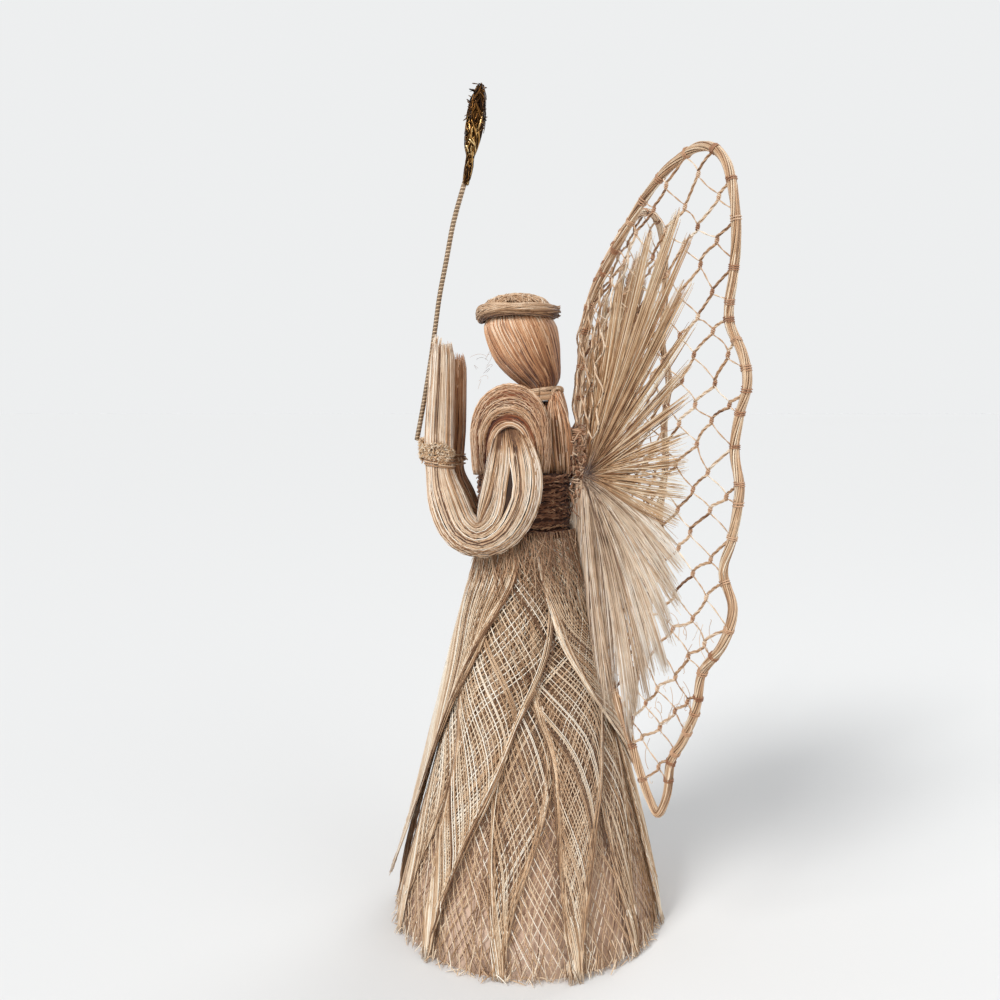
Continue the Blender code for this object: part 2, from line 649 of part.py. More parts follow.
def wing_net(side, word):
    """Flat net with one gap in each mesh that is large enough to have one."""
    corners, cells = shared_cells(net_cells())
    half = WING_NET_THICKNESS / 2
    shift = len(corners)
    points = [wing_point(side, p[0] * MM, p[1] * MM, half) for p in corners]
    points += [wing_point(side, p[0] * MM, p[1] * MM, -half) for p in corners]
    faces = []
    sides_seen = set()
    for loop in cells:
        count = len(loop)
        sides_seen.update((loop[k], loop[(k + 1) % count]) for k in range(count))
        shape = [corners[i] for i in loop]
        hole = [tuple(p) for p in inset_loop(shape, NET_WIDTH / MM / 2)]
        if area(shape) < NET_CLOSED or area(hole) < NET_CLOSED / 3:
            faces.append(tuple(loop))
            faces.append(tuple(i + shift for i in reversed(loop)))
            continue
        start = len(points)
        points += [wing_point(side, p[0] * MM, p[1] * MM, half) for p in hole]
        points += [wing_point(side, p[0] * MM, p[1] * MM, -half) for p in hole]
        for k in range(count):
            j = (k + 1) % count
            faces.append((loop[k], loop[j], start + j, start + k))
            faces.append((loop[j] + shift, loop[k] + shift, start + count + k, start + count + j))
            faces.append((start + k, start + j, start + count + j, start + count + k))
    for a, b in sorted(sides_seen):
        if (b, a) not in sides_seen:
            faces.append((b, a, a + shift, b + shift))
    used = sorted({i for face in faces for i in face})
    place = {old: new for new, old in enumerate(used)}
    faces = [tuple(place[i] for i in face) for face in faces]
    return add_mesh(f"{word}_wing_net", [points[i] for i in used], faces, "thread", False)


def fan(side, word, name, ends, columns, material):
    """Ridged spray of straight fibres from the gathering point to its row of ends."""
    spread = [(i / (len(ends) - 1), e[0], e[1]) for i, e in enumerate(ends)]
    rows = 4

    def pair(r, c):
        share = c / (columns - 1)
        end = Vector((table(spread, share, 1), table(spread, share, 2)))
        root = Vector(FAN_GATHER)
        full = (end - root).length
        direction = (end - root).normalized()
        reach = full * (0.93 if c % 2 else 1.0)
        along = FAN_START + (reach - FAN_START) * r / (rows - 1)
        spot = root + direction * along
        ridge = FAN_RIDGE if c % 2 == 0 else 0.0
        thick = FAN_THICKNESS - FAN_RIDGE + ridge + (1.0 * MM if r == 0 else 0.0)
        front = wing_point(side, spot.x * MM, spot.y * MM, FAN_FRONT + thick)
        back = wing_point(side, spot.x * MM, spot.y * MM, FAN_FRONT)
        return (front, back)

    sheet(f"{word}_{name}", rows, columns, pair, material)


def wing_lashing(name, z):
    """Twine turns that bind the two wing frames together behind the back."""
    steps = 16
    sides = 6
    points = []
    for i in range(steps):
        angle = 2 * math.pi * i / steps
        for s in range(sides):
            turn = 2 * math.pi * s / sides
            x = (LASHING_REACH_X + LASHING_RADIUS * math.cos(turn)) * math.cos(angle)
            y = LASHING_CENTRE_Y + (LASHING_REACH_Y + LASHING_RADIUS * math.cos(turn)) * math.sin(angle)
            points.append((x, y, z + LASHING_RADIUS * math.sin(turn)))
    add_mesh(name, points, ring_faces(steps, sides, True), "thread")


def wings():
    for side, word in ((1, "left"), (-1, "right")):
        wing_frame(side, word)
        wing_net(side, word)
        fan(side, word, "upper_fan", UPPER_FAN, 23, "straw_tan")
        fan(side, word, "middle_fan", MIDDLE_FAN, 7, "straw_tan")
        fan(side, word, "lower_fan", LOWER_FAN, 19, "straw_pale")
    wing_lashing("upper_lashing", UPPER_LASHING_Z)
    wing_lashing("lower_lashing", LOWER_LASHING_Z)


clear_scene()
GROUP = make_collection()
MATERIALS = {name: make_material(name) for name in COLOURS}
card_cone()
net_underskirt()
petals()
torso_core()
waist_wrap()
sleeve(1, "left")
sleeve(-1, "right")
arm(1, "left", "straw_pale", 0.0, 0.0)
arm(-1, "right", "straw_brown", RIGHT_HAND_SHIFT, RIGHT_HAND_SHORTER)
wrist_tie(1, "left", LEFT_WRIST_Y, WRIST_Z)
wrist_tie(-1, "right", RIGHT_WRIST_Y, WRIST_Z)
wand()
tinsel_tuft()
wrist_glue()
head()
neck_tie()
neck_bundle()
hat_rim()
hat_crown()
wings()
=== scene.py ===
"""Straw angel tree topper: every fibre, net, cord and tie that the eye sees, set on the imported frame.

Shapes are laid out in millimetres about the skirt's upright axis. The angel faces -Y, with its left at +X.
Each fibre has a tone from 0, dark, to 1, pale, and its material turns the tone into a colour.
"""
import math

import bpy
import numpy as np
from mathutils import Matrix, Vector


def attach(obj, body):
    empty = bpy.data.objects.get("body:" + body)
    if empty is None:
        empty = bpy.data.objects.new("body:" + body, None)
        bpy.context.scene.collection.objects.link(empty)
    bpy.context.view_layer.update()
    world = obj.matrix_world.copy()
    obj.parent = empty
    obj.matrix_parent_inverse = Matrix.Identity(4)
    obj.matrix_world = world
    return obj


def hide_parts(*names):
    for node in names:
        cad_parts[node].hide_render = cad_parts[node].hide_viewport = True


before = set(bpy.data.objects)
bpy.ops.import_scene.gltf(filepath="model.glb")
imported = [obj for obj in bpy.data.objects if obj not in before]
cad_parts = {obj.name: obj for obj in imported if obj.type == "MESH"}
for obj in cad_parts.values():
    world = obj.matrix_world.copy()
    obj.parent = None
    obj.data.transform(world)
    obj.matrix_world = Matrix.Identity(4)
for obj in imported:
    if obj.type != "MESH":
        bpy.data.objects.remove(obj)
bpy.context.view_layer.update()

MM = 0.001
AXIS = np.array([0.0, -6.05, 0.0])
TURN = 2 * np.pi
BOTH_SIDES = ((1, "left"), (-1, "right"))
SLANT = np.array([0.31, 0.17, 0.93])
rng = np.random.default_rng(20)
uniform = rng.uniform
normal = rng.normal


# Random draws, points and curves

def phase(count=None):
    return uniform(0, 6.28, count)


def tone_near(mean, spread, change=0.0, count=None):
    """One tone, or count of them, drawn about a mean, with a change that may vary along the fibre."""
    return np.clip(normal(mean, spread, count) + change, 0, 1)


def steps(count):
    """Even shares from 0 to 1."""
    return np.linspace(0, 1, count)


def xyz(x, y, z):
    return np.stack(np.broadcast_arrays(x, y, z), -1)


def normalise(v):
    return v / np.maximum(np.linalg.norm(v, axis=-1, keepdims=True), 1e-9)


def mirrored(rows, side):
    return [(side * x, *rest) for x, *rest in rows]


def even_rows(points, wide, deep):
    """Rows of a form whose two half widths stay the same."""
    return [(*point, wide, deep) for point in points]


def round_rows(rows):
    """Rows of an upright form with round sections, from y, z and radius."""
    return [(0, y, z, r, r) for y, z, r in rows]


def catmull_rom(a, b, c, d, t):
    """The stretch from b to c of the curve through four points."""
    bend = (2 * a - 5 * b + 4 * c - d) * t ** 2
    return 0.5 * (2 * b + (c - a) * t + bend + (3 * b - a - 3 * c + d) * t ** 3)


def curve(points, count):
    """Smooth curve through rows of numbers, with count even samples along its first three columns."""
    p = np.asarray(points, float)
    p = np.vstack([2 * p[0] - p[1], p, 2 * p[-1] - p[-2]])
    t = np.linspace(0, 1, 16, endpoint=False)[:, None]
    fine = [catmull_rom(*p[i:i + 4], t) for i in range(len(p) - 3)]
    fine = np.vstack(fine + [p[-2:-1]])
    step = np.linalg.norm(np.diff(fine[:, :3], axis=0), axis=1)
    length = np.append(0, np.cumsum(step))
    at = np.linspace(0, length[-1], count)
    return np.stack([np.interp(at, length, column) for column in fine.T], 1)


def closed_curve(points, per_point):
    t = np.linspace(0, 1, per_point, endpoint=False)[:, None]
    corners = [np.roll(points, shift, axis=0) for shift in (1, 0, -1, -2)]
    return np.vstack([catmull_rom(*four, t) for four in zip(*corners)])


def ring(centre, rx, ry, z, tilt=0.0, drop=0.0):
    """One turn of twine about a centre. It tilts, and its end may lie higher than its start."""
    a = np.linspace(0, TURN, 49)
    return xyz(centre[0] + rx * np.cos(a), centre[1] + ry * np.sin(a), z + tilt * np.sin(a) + drop * a / TURN)


# Meshes

def put(name, data):
    """Add an object to the scene."""
    item = bpy.data.objects.new(name, data)
    bpy.context.scene.collection.objects.link(item)
    return item


def skin(rows, columns):
    """Corners and starts of the faces that close a tube of rings."""
    i = np.arange(rows - 1)[:, None] * columns
    j = np.arange(columns)
    k = (j + 1) % columns
    quads = np.stack([i + j, i + k, i + k + columns, i + j + columns], -1).reshape(-1)
    corners = np.concatenate([quads, j[::-1], (rows - 1) * columns + j])
    starts = np.append(np.arange(0, len(quads), 4), [len(quads), len(quads) + columns])
    return corners, starts


def build(name, points, corners, starts, tones, material, slot, node):
    """Make a piece that rides on the frame and stands for the node, if one is named."""
    mesh = bpy.data.meshes.new(name)
    mesh.vertices.add(len(points))
    mesh.vertices.foreach_set("co", ((points + AXIS) * MM).astype(np.float32).ravel())
    mesh.loops.add(len(corners))
    mesh.polygons.add(len(starts))
    mesh.polygons.foreach_set("loop_start", np.asarray(starts, np.int32))
    mesh.polygons.foreach_set("vertices", np.asarray(corners, np.int32))
    mesh.polygons.foreach_set("use_smooth", np.ones(len(starts), bool))
    mesh.update(calc_edges=True)
    layer = mesh.attributes.new("tone", "FLOAT", "POINT")
    layer.data.foreach_set("value", np.asarray(tones, np.float32))
    mesh.materials.append(material)
    item = put(name, mesh)
    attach(item, "root")
    if node:
        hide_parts(node)


def tube(name, rings, tone, material, slot, node=None):
    """One closed form through rings of points."""
    rows, columns = rings.shape[:2]
    points = rings.reshape(-1, 3)
    build(name, points, *skin(rows, columns), np.full(len(points), tone), material, slot, node)


def fibre_rings(path, radius, sides, up, flat):
    """Rings of points round a path. flat widens the fibre across the up direction."""
    along = normalise(np.gradient(path, axis=0))
    across = normalise(np.cross(along, up))
    out = np.cross(along, across)
    angle = TURN * (np.arange(sides)[:, None] + 0.5) / sides
    spokes = across[:, None] * (flat * np.cos(angle)) + out[:, None] * np.sin(angle)
    return path[:, None] + spokes * radius[:, None, None]


class Strands:
    """The closed fibres that make up one piece."""

    def __init__(self):
        self.fibres = []

    def add(self, path, tone, up=SLANT, radius=None):
        self.fibres.append((np.asarray(path, float), tone, up, radius))

    def add_all(self, lines, tones):
        for (path, up), tone in zip(lines, tones):
            self.add(path, tone, up)

    def add_loose(self, paths):
        for path in paths:
            self.add(path, rng.random())

    def make(self, name, radius, material, slot, node=None, sides=3, flat=1.0, taper=0.35):
        """Build the piece. radius is for the fibres that have none of their own."""
        points, corners, starts, tones = [], [], [], []
        first_point = 0
        first_corner = 0
        for path, tone, up, own_radius in self.fibres:
            count = len(path)
            thick = np.full(count, own_radius or radius)
            thick[-1] *= taper
            points.append(fibre_rings(path, thick, sides, up, flat).reshape(-1, 3))
            loops, begins = skin(count, sides)
            corners.append(loops + first_point)
            starts.append(begins + first_corner)
            tones.append(np.repeat(np.broadcast_to(tone, count), sides))
            first_point += count * sides
            first_corner += len(loops)
        parts = [np.concatenate(rows) for rows in (points, corners, starts, tones)]
        build(name, *parts, material, slot, node)


def part_fibres(angle, u, middle, at, reach, push):
    """Push fibres apart at a slit: at is its place along the form and reach its half length."""
    gap = (angle - middle + np.pi) % TURN - np.pi
    return angle + push * np.sign(gap) * np.exp(-(gap / 0.5) ** 2) * np.exp(-((u - at) / reach) ** 2)


class Bundle:
    """A swept oval form: rows of x, y, z, half width towards +X, half width across that."""

    def __init__(self, rows, count=80, level=False):
        data = curve(rows, count)
        self.centre = data[:, :3]
        along = normalise(np.gradient(self.centre, axis=0))
        if level:
            along = np.tile([0.0, 0.0, 1.0], (count, 1))
        side = np.array([1.0, 0.0, 0.0])
        first = normalise(side - along * along[:, :1])
        self.first = first * data[:, 3:4]
        self.second = np.cross(along, first) * data[:, 4:5]
        self.u = steps(count)
        self.length = np.sum(np.linalg.norm(np.diff(self.centre, axis=0), axis=1))

    def mix(self, u, rows):
        return np.stack([np.interp(u, self.u, column) for column in rows.T], -1)

    def at(self, u, angle, scale):
        """Points at shares u of the length, which may pass either end, and at angles round the form."""
        cos = (np.cos(angle) * scale)[..., None]
        sin = (np.sin(angle) * scale)[..., None]
        over = np.maximum(u - 1, 0)[..., None] * self.length
        under = np.minimum(u, 0)[..., None] * self.length
        tip = normalise(self.centre[-1] - self.centre[-2])
        foot = normalise(self.centre[1] - self.centre[0])
        spot = self.mix(u, self.centre) + self.mix(u, self.first) * cos + self.mix(u, self.second) * sin
        return spot + tip * over + foot * under

    def line(self, u, angle, scale):
        """A path on the form and its outward directions."""
        path = self.at(u, angle, scale)
        return path, normalise(path - self.at(u, angle, 0))

    def core(self, name, scale, material, slot, tone, sides=30, rows=36, ridges=0, depth=0.0, end=1.0):
        """The form as a closed skin with shallow ridges, a little narrower at its ends."""
        turns = np.linspace(0, TURN, sides, endpoint=False)
        u, angle = np.meshgrid(np.linspace(0, end, rows), turns, indexing="ij")
        size = scale * (1 + depth * np.cos(ridges * angle + 3 * u))
        size[[0, -1]] *= 0.9
        tube(name, self.at(u, angle, size), tone, material, slot)

    def lay(self, count, start, end, twist, wander, depth, samples, scale=1.0, loose=0.0, slit=None):
        """Fibres that run along the form, each as its path and its outward directions."""
        lines = []
        for k in range(count):
            middle = TURN * (k + uniform(-0.35, 0.35)) / count
            first = start + uniform(0, 1) * loose
            last = end - uniform(0, 1) ** 2 * loose
            u = np.linspace(first, last, samples)
            shift = phase(2)
            angle = middle + twist * u + wander * np.sin(5 * u + shift[0]) * uniform(0.4, 1)
            if slit:
                angle = part_fibres(angle, u, *slit)
            size = scale + depth * uniform(-1, 1) + 0.6 * depth * np.sin(7 * u + shift[1])
            lines.append(self.line(u, angle, size))
        return lines

    def wind(self, turns, strands, scale, lean, per_turn):
        """Fibres that wind round the form, each as its path and its outward directions."""
        u = steps(int(turns * per_turn) + 2)
        return [self.line(u, lean * TURN * turns * u + TURN * k / strands, scale) for k in range(strands)]


# Materials

def set_inputs(node, values):
    for name, value in values.items():
        node.inputs[name].default_value = value


def linear(colour):
    """Scene colour from red, green and blue as seen on a screen, 0 to 255."""
    shares = [value / 255 for value in colour]
    return [v / 12.92 if v <= 0.04045 else ((v + 0.055) / 1.055) ** 2.4 for v in shares] + [1]


def fibre_material(name, *colours, rough=0.62, metallic=0.0, grain=260.0, contrast=0.22, bump=0.15,
                   sheen=0.15, specular=0.3):
    """Natural fibre: tone picks a colour from dark to light, and two noises mottle and roughen it."""
    material = bpy.data.materials.new(name)
    material.use_nodes = True
    nodes = material.node_tree.nodes
    links = material.node_tree.links
    shader = nodes["Principled BSDF"]
    where = nodes.new("ShaderNodeTexCoord")

    def noise(scale, detail):
        node = nodes.new("ShaderNodeTexNoise")
        set_inputs(node, {"Scale": scale, "Detail": detail})
        links.new(where.outputs["Object"], node.inputs["Vector"])
        return node.outputs["Fac"]

    tone = nodes.new("ShaderNodeAttribute")
    tone.attribute_name = "tone"
    spread = nodes.new("ShaderNodeMath")
    spread.operation = "MULTIPLY_ADD"
    spread.inputs[1].default_value = contrast * 2
    spread.inputs[2].default_value = -contrast
    links.new(noise(grain, 4), spread.inputs[0])
    total = nodes.new("ShaderNodeMath")
    total.operation = "ADD"
    total.use_clamp = True
    links.new(tone.outputs["Fac"], total.inputs[0])
    links.new(spread.outputs[0], total.inputs[1])
    ramp = nodes.new("ShaderNodeValToRGB")
    stops = ramp.color_ramp.elements
    stops[0].color = linear(colours[0])
    stops[1].color = linear(colours[-1])
    for k, colour in enumerate(colours[1:-1], 1):
        stops.new(k / (len(colours) - 1)).color = linear(colour)
    links.new(total.outputs[0], ramp.inputs["Fac"])
    links.new(ramp.outputs["Color"], shader.inputs["Base Color"])
    relief = nodes.new("ShaderNodeBump")
    set_inputs(relief, {"Strength": bump, "Distance": 0.0002})
    links.new(noise(grain * 7, 3), relief.inputs["Height"])
    links.new(relief.outputs["Normal"], shader.inputs["Normal"])
    set_inputs(shader, {"Roughness": rough, "Metallic": metallic, "Sheen Weight": sheen,
                        "Specular IOR Level": specular})
    return material


NET = fibre_material("net_fibre", (112, 76, 48), (198, 160, 122), (236, 210, 178), (255, 245, 228))
PALE = fibre_material("pale_fibre", (98, 62, 36), (190, 146, 106), (232, 204, 173), (255, 244, 229))
TAN = fibre_material("tan_fibre", (104, 58, 30), (188, 132, 90), (222, 174, 132), (248, 220, 190), rough=0.45,
                     specular=0.45)
FAN = fibre_material("fan_fibre", (98, 58, 30), (180, 134, 92), (218, 184, 144), (246, 230, 204))
WHITE = fibre_material("white_fibre", (116, 82, 56), (196, 164, 132), (230, 208, 182), (253, 244, 232))
ROD = fibre_material("rod_fibre", (112, 74, 44), (184, 142, 104), (218, 184, 148), (246, 228, 202), rough=0.5,
                     specular=0.4)
# Orange-brown for the sleeve's fold and the inside of its roll: partly painted shade.
SHADED_LIP = fibre_material("shaded_lip_fibre", (84, 38, 18), (160, 92, 52), (204, 146, 102), (236, 198, 160))
SLEEVE_STRAW = fibre_material("sleeve_fibre", (96, 52, 28), (184, 134, 94), (222, 180, 142), (250, 226, 198))
BROWN = fibre_material("brown_fibre", (44, 24, 12), (104, 68, 42), (152, 110, 76), (204, 168, 132))
RIM = fibre_material("rim_fibre", (84, 50, 30), (166, 126, 90), (210, 176, 142), (244, 222, 196))
JUTE = fibre_material("jute_fibre", (46, 20, 10), (112, 70, 46), (158, 112, 82), (204, 166, 130), rough=0.8)
FRINGE = fibre_material("fringe_fibre", (60, 34, 20), (138, 96, 64), (184, 144, 110), (224, 192, 158),
                        rough=0.7)
THREAD = fibre_material("thread_fibre", (118, 78, 50), (188, 146, 108), (222, 190, 156), (250, 234, 212))
KNOT = fibre_material("knot_fibre", (98, 56, 34), (170, 120, 86), (208, 168, 134), (240, 216, 188))
GOLD = fibre_material("gold_thread", (70, 52, 34), (146, 120, 92), (198, 172, 142), (238, 222, 198),
                      rough=0.4, metallic=0.3, sheen=0.0, specular=0.5)
TINSEL = fibre_material("tinsel_strip", (30, 15, 6), (112, 74, 32), (186, 140, 76), (246, 220, 166),
                        rough=0.22, metallic=0.9, sheen=0.0, specular=0.5)
GLUE = fibre_material("glue_bead", (170, 126, 84), (214, 176, 134), (238, 210, 176), (254, 240, 218),
                      rough=0.35, grain=900, contrast=0.3, bump=0.5, sheen=0.0, specular=0.5)
CARD = fibre_material("pale_card", (196, 164, 140), (222, 196, 176), (240, 222, 208), (250, 240, 230),
                      rough=0.85, grain=34, contrast=0.6, bump=0.3)


# Skirt

# Height and radius of the net underskirt
SKIRT = np.array([(-2, 48.5), (0, 48.3), (6, 47.9), (14, 46.4), (43, 39.0), (81, 28.8), (118, 19.8),
                  (146, 13.4), (152, 12.5)])
FINE_Z = np.linspace(-2, 152, 309)
FINE_R = np.interp(FINE_Z, *SKIRT.T)
FINE_R[6:-6] = np.convolve(FINE_R, np.ones(13) / 13, "valid")
NET_RADIUS = 0.165
NET_FLAT = 1.3
NET_STRANDS = 92
BACKING_STRANDS = 96
HEM_ENDS = 380
LOOSE_HEM_ENDS = 90


def skirt_r(z):
    return np.interp(z, FINE_Z, FINE_R)


def wave(angle, z):
    """Uneven bulge of the layers of the skirt, which fades towards the waist."""
    return (0.35 * np.sin(3 * angle + 0.05 * z) + 0.3 * np.sin(5 * angle - 0.03 * z + 1)) * (1 - z / 160)


def round_point(angle, z, r):
    return xyz(r * np.cos(angle), r * np.sin(angle), z)


def outward(angle):
    return xyz(np.cos(angle), np.sin(angle), 0.22)


def skirt_net():
    """Bias cut net round the whole cone: a pale layer over one painted darker as shade, and a frayed hem."""
    net = Strands()
    z = np.linspace(145, 0.6, 25)
    turn = np.append(0, np.cumsum(0.56 * -np.diff(z) / skirt_r(z[1:])))
    for lean in (-1, 1):
        for k in range(NET_STRANDS):
            a = TURN * (k + uniform(-0.2, 0.2)) / NET_STRANDS + lean * turn
            r = skirt_r(z) + wave(a, z) + 0.16 * lean - 0.35 + 0.1 * np.sin(z * 1.3 + k)
            a = a + 0.012 * np.sin(z * 0.11 + 5 * a)
            path = round_point(a, z, r)
            path[-1, :2] += uniform(-0.8, 0.8, 2)
            # The sine term paints broad lighter and darker patches: painted light and shade between the
            # layers.
            net.add(path, tone_near(0.57, 0.25, 0.16 * np.sin(3 * a + 1.2 + 0.02 * z)), outward(a))
        for k in range(BACKING_STRANDS):
            a = TURN * (k + uniform(-0.4, 0.4)) / BACKING_STRANDS
            a = a + 0.6 * lean * turn + 0.03 * np.sin(z * 0.2 + k)
            r = skirt_r(z) + wave(a, z) - 0.15 + 0.15 * lean
            # The backing layer's low tone is painted shade between the layers.
            net.add(round_point(a, z, r), tone_near(0.34, 0.2), outward(a))
    hem_fringe(net)
    net.make("net_underskirt_fibres", NET_RADIUS, NET, "straw_net", "net_underskirt", flat=NET_FLAT)


def hem_fringe(net):
    for k in range(HEM_ENDS):
        a = uniform(0, TURN)
        z = np.linspace(uniform(1.5, 11), uniform(0.25, 1.6), 5)
        t = steps(5)
        a = a + uniform(-0.07, 0.07) * t
        r = skirt_r(z) + 0.3 + uniform(0, 1.9) * t ** 2
        net.add(round_point(a, z, r), uniform(0.1, 0.9), outward(a))
    for k in range(LOOSE_HEM_ENDS):
        a = uniform(0, TURN)
        t = steps(7)
        z = 0.35 + uniform(0, 2.6) * (1 - t) + uniform(0, 1.4) * np.sin(3 * t)
        r = skirt_r(z) + 0.2 + uniform(0.5, 3.4) * t
        a = a + uniform(-0.12, 0.12) * t ** 1.5
        net.add(round_point(a, z, r), uniform(0.3, 1.0), outward(a))


# Petals: height, then degrees from the petal's tip to its two edges
INNER_PETAL = [(3, -2, 2), (8, -3, 3), (24, -5, 6), (40, -7, 15), (59, -8, 24), (74, -8, 28), (95, -8, 34),
               (118, -6, 34)]
MIDDLE_PETAL = [(5, -2, 2), (10, -3, 4), (20, -4, 6), (42, -4, 14), (50, -4, 19), (59, -4, 26), (65, -4, 29),
                (72, -4, 33), (80, -9, 38), (88, -16, 44), (99, -17, 57), (111, -18, 66), (125, -18, 70),
                (143, -18, 72)]
FRONT_PETAL = [(21, -4, 4), (27, -8, 8), (43, -14, 14), (60, -18, 18), (76, -24, 24), (98, -39, 39),
               (112, -54, 54), (129, -79, 79), (143.2, -84, 84)]
BACK_PETAL = [(62, -3, 3), (77, -28, 28), (91, -47, 47), (106, -63, 63), (118, -71, 71), (133, -83, 83),
              (143.2, -86, 86)]
INNER_TIPS = [-12, 50, 110, 170, 230, 290]
MIDDLE_TIPS = [-45, 18, 80, 140, 200, 258]
PETAL_SAMPLES = 26
LOWEST = 0.25


def smooth(values):
    return np.convolve(np.pad(values, 1, "edge"), np.ones(3) / 3, "valid")


class Petal:
    """Leaf shaped net panel. Shares run from edge to edge, 0 to 1, and t from its top to its tip."""

    def __init__(self, edges, tip, lift, tone, bulge=0.8, flare=0.0, lap=0.0):
        height, first, last = np.array(edges, float).T
        self.z = np.linspace(height[-1], height[0], PETAL_SAMPLES)
        self.t = steps(PETAL_SAMPLES)
        self.first = smooth(np.radians(tip + np.interp(self.z, height, first)))
        self.last = smooth(np.radians(tip + np.interp(self.z, height, last)))
        self.lift = lift + flare * self.t ** 4
        self.bulge = bulge
        self.lap = lap
        self.tone = tone
        self.drift = phase(4)
        self.strands = Strands()

    def at(self, share, lift, shift=0.0):
        """A path, lifted off the panel and shifted across it, and its outward directions."""
        a = self.first + (self.last - self.first) * share
        r = skirt_r(self.z) + self.lift + self.lap * (share - 0.5) * (1 - self.t ** 2) + wave(a, self.z)
        r = r + self.bulge * np.sin(np.pi * share) * np.sin(np.pi * np.minimum(self.t * 1.1, 1)) + lift
        a = a + shift / r
        return round_point(a, self.z, r), outward(a)

    def lay_net(self, strands, crossings, twins):
        """Fibres that bounce between the two edges on their way to the tip, some of them in pairs."""
        t = self.t
        for k in range(strands):
            s = 2 * (k + uniform(-0.25, 0.25)) / strands + crossings * t
            s = s + 0.05 * np.sin(9 * t + self.drift[0]) + 0.03 * np.sin(17 * t + self.drift[1])
            s = np.abs((s + 1) % 2 - 1)
            slope = np.sign(np.gradient(s))
            share = 0.72 * s + 0.28 * (1 - np.cos(np.pi * s)) / 2
            own = normal(self.tone, 0.26)
            # The cosine term darkens both edges and pales the middle: partly darker fibres, partly painted
            # shade beside the rolled edges. The sine term is random.
            shade = 0.07 * np.sin(5 * t + self.drift[2]) - 0.14 * np.cos(TURN * share)
            tone = np.clip(np.append(own + shade, own), 0, 1)
            for twin in ((-1, 1) if rng.random() < twins else (0,)):
                lift = 0.15 * slope + 0.05 * normal()
                path, up = self.at(share, lift, 0.24 * twin + 0.12 * np.sin(11 * t + k))
                end = uniform(-1, 1, 3) * 0.5 + (path[-1] - path[-2]) * uniform(0.3, 1.6)
                path = np.vstack([path, path[-1] + end])
                path[:, 2] = np.maximum(path[:, 2], LOWEST)
                self.strands.add(path, tone, np.vstack([up, up[-1]]))

    def roll_edge(self, share, inward, fibres, pale):
        """Loosely twisted roll of fibres along one edge. Its far side is darker, partly darker fibres and
        partly painted shade in the fold, and pale lightens it.
        """
        t = self.t
        swell = np.sin(np.pi * t)
        width = 1.5 * (0.4 + 0.6 * swell ** 0.7) * (1 + 0.35 * np.sin(13 * t + self.drift[3]))
        for k in range(fibres):
            size = uniform(0.05, 1.0) ** 0.7
            roll = uniform(0, TURN) + uniform(0.6, 2.4) * t
            side = inward * 1.2 + width * size * np.cos(roll) + 0.45 * np.sin(9 * t + k)
            lift = 0.2 + 0.42 * size * np.sin(roll) * (0.5 + 0.5 * swell)
            path, up = self.at(share, np.maximum(lift, -0.2), side)
            first = int(rng.integers(0, 12))
            last = PETAL_SAMPLES - int(rng.integers(0, 10))
            # The side of the roll away from the petal is darker by 0.26: partly painted shade in the fold.
            shaded_side = np.clip(-np.cos(roll) * inward, 0, 1) > 0.2
            tone = tone_near(self.tone - 0.08, 0.22, np.where(shaded_side, pale - 0.26, 0.0))
            self.strands.add(path[first:last], tone[first:last], up[first:last])

    def fray_tip(self, count):
        for k in range(count):
            path, up = self.at(uniform(0.1, 0.9), 0.2)
            reach = uniform(1.5, 4.5)
            drop = np.array([0.25 * math.cos(self.first[-1]), 0.25 * math.sin(self.first[-1]), -1.0])
            end = path[-4] + steps(5)[:, None] * (drop + uniform(-0.3, 0.3, 3)) * reach
            end[:, 2] = np.maximum(end[:, 2], 0.3)
            self.strands.add(end, uniform(0.3, 1), up[-1])

    def make(self, node, strands, crossings, band, point=6, pale=0.0, twins=0.15):
        self.lay_net(strands, crossings, twins)
        self.roll_edge(0.0, 1, band, pale)
        self.roll_edge(1.0, -1, band, pale)
        self.fray_tip(point)
        self.strands.make(f"{node}_net", NET_RADIUS, NET, "straw_net", node, flat=NET_FLAT)


def petals():
    for k, tip in enumerate(INNER_TIPS):
        petal = Petal(INNER_PETAL, tip, 0.6, 0.5)
        petal.make(f"inner_petal_{k + 1}", 24, 2.6, 10, pale=0.12)
    for k, tip in enumerate(MIDDLE_TIPS):
        petal = Petal(MIDDLE_PETAL, tip, 1.8, 0.6 - 0.08 * (k % 2), bulge=1.0, lap=1.5)
        petal.make(f"middle_petal_{k + 1}", 34, 3.4, 20)
    front = Petal(FRONT_PETAL, -91, 3.0, 0.58, bulge=1.6, flare=1.6)
    front.make("front_petal", 120, 0.8, 30, point=14, pale=-0.08, twins=0.1)
    back = Petal(BACK_PETAL, 91, 3.3, 0.6, bulge=0.6)
    back.make("back_petal", 90, 1.0, 30, point=12, pale=0.55, twins=0.1)


# Waist and torso

WAIST_Y = -1.6
WAIST_TURNS = 19
WAIST_FUZZ = 480
WAIST_FRINGE = 230
TORSO = [(0, 0, 132, 7.2, 8.3), (0, 0, 165, 7.4, 8.6), (0, -0.2, 184, 7.4, 8.6), (0, 0.2, 187.6, 6.9, 8.0),
         (0, 2.4, 191, 4.4, 5.2)]


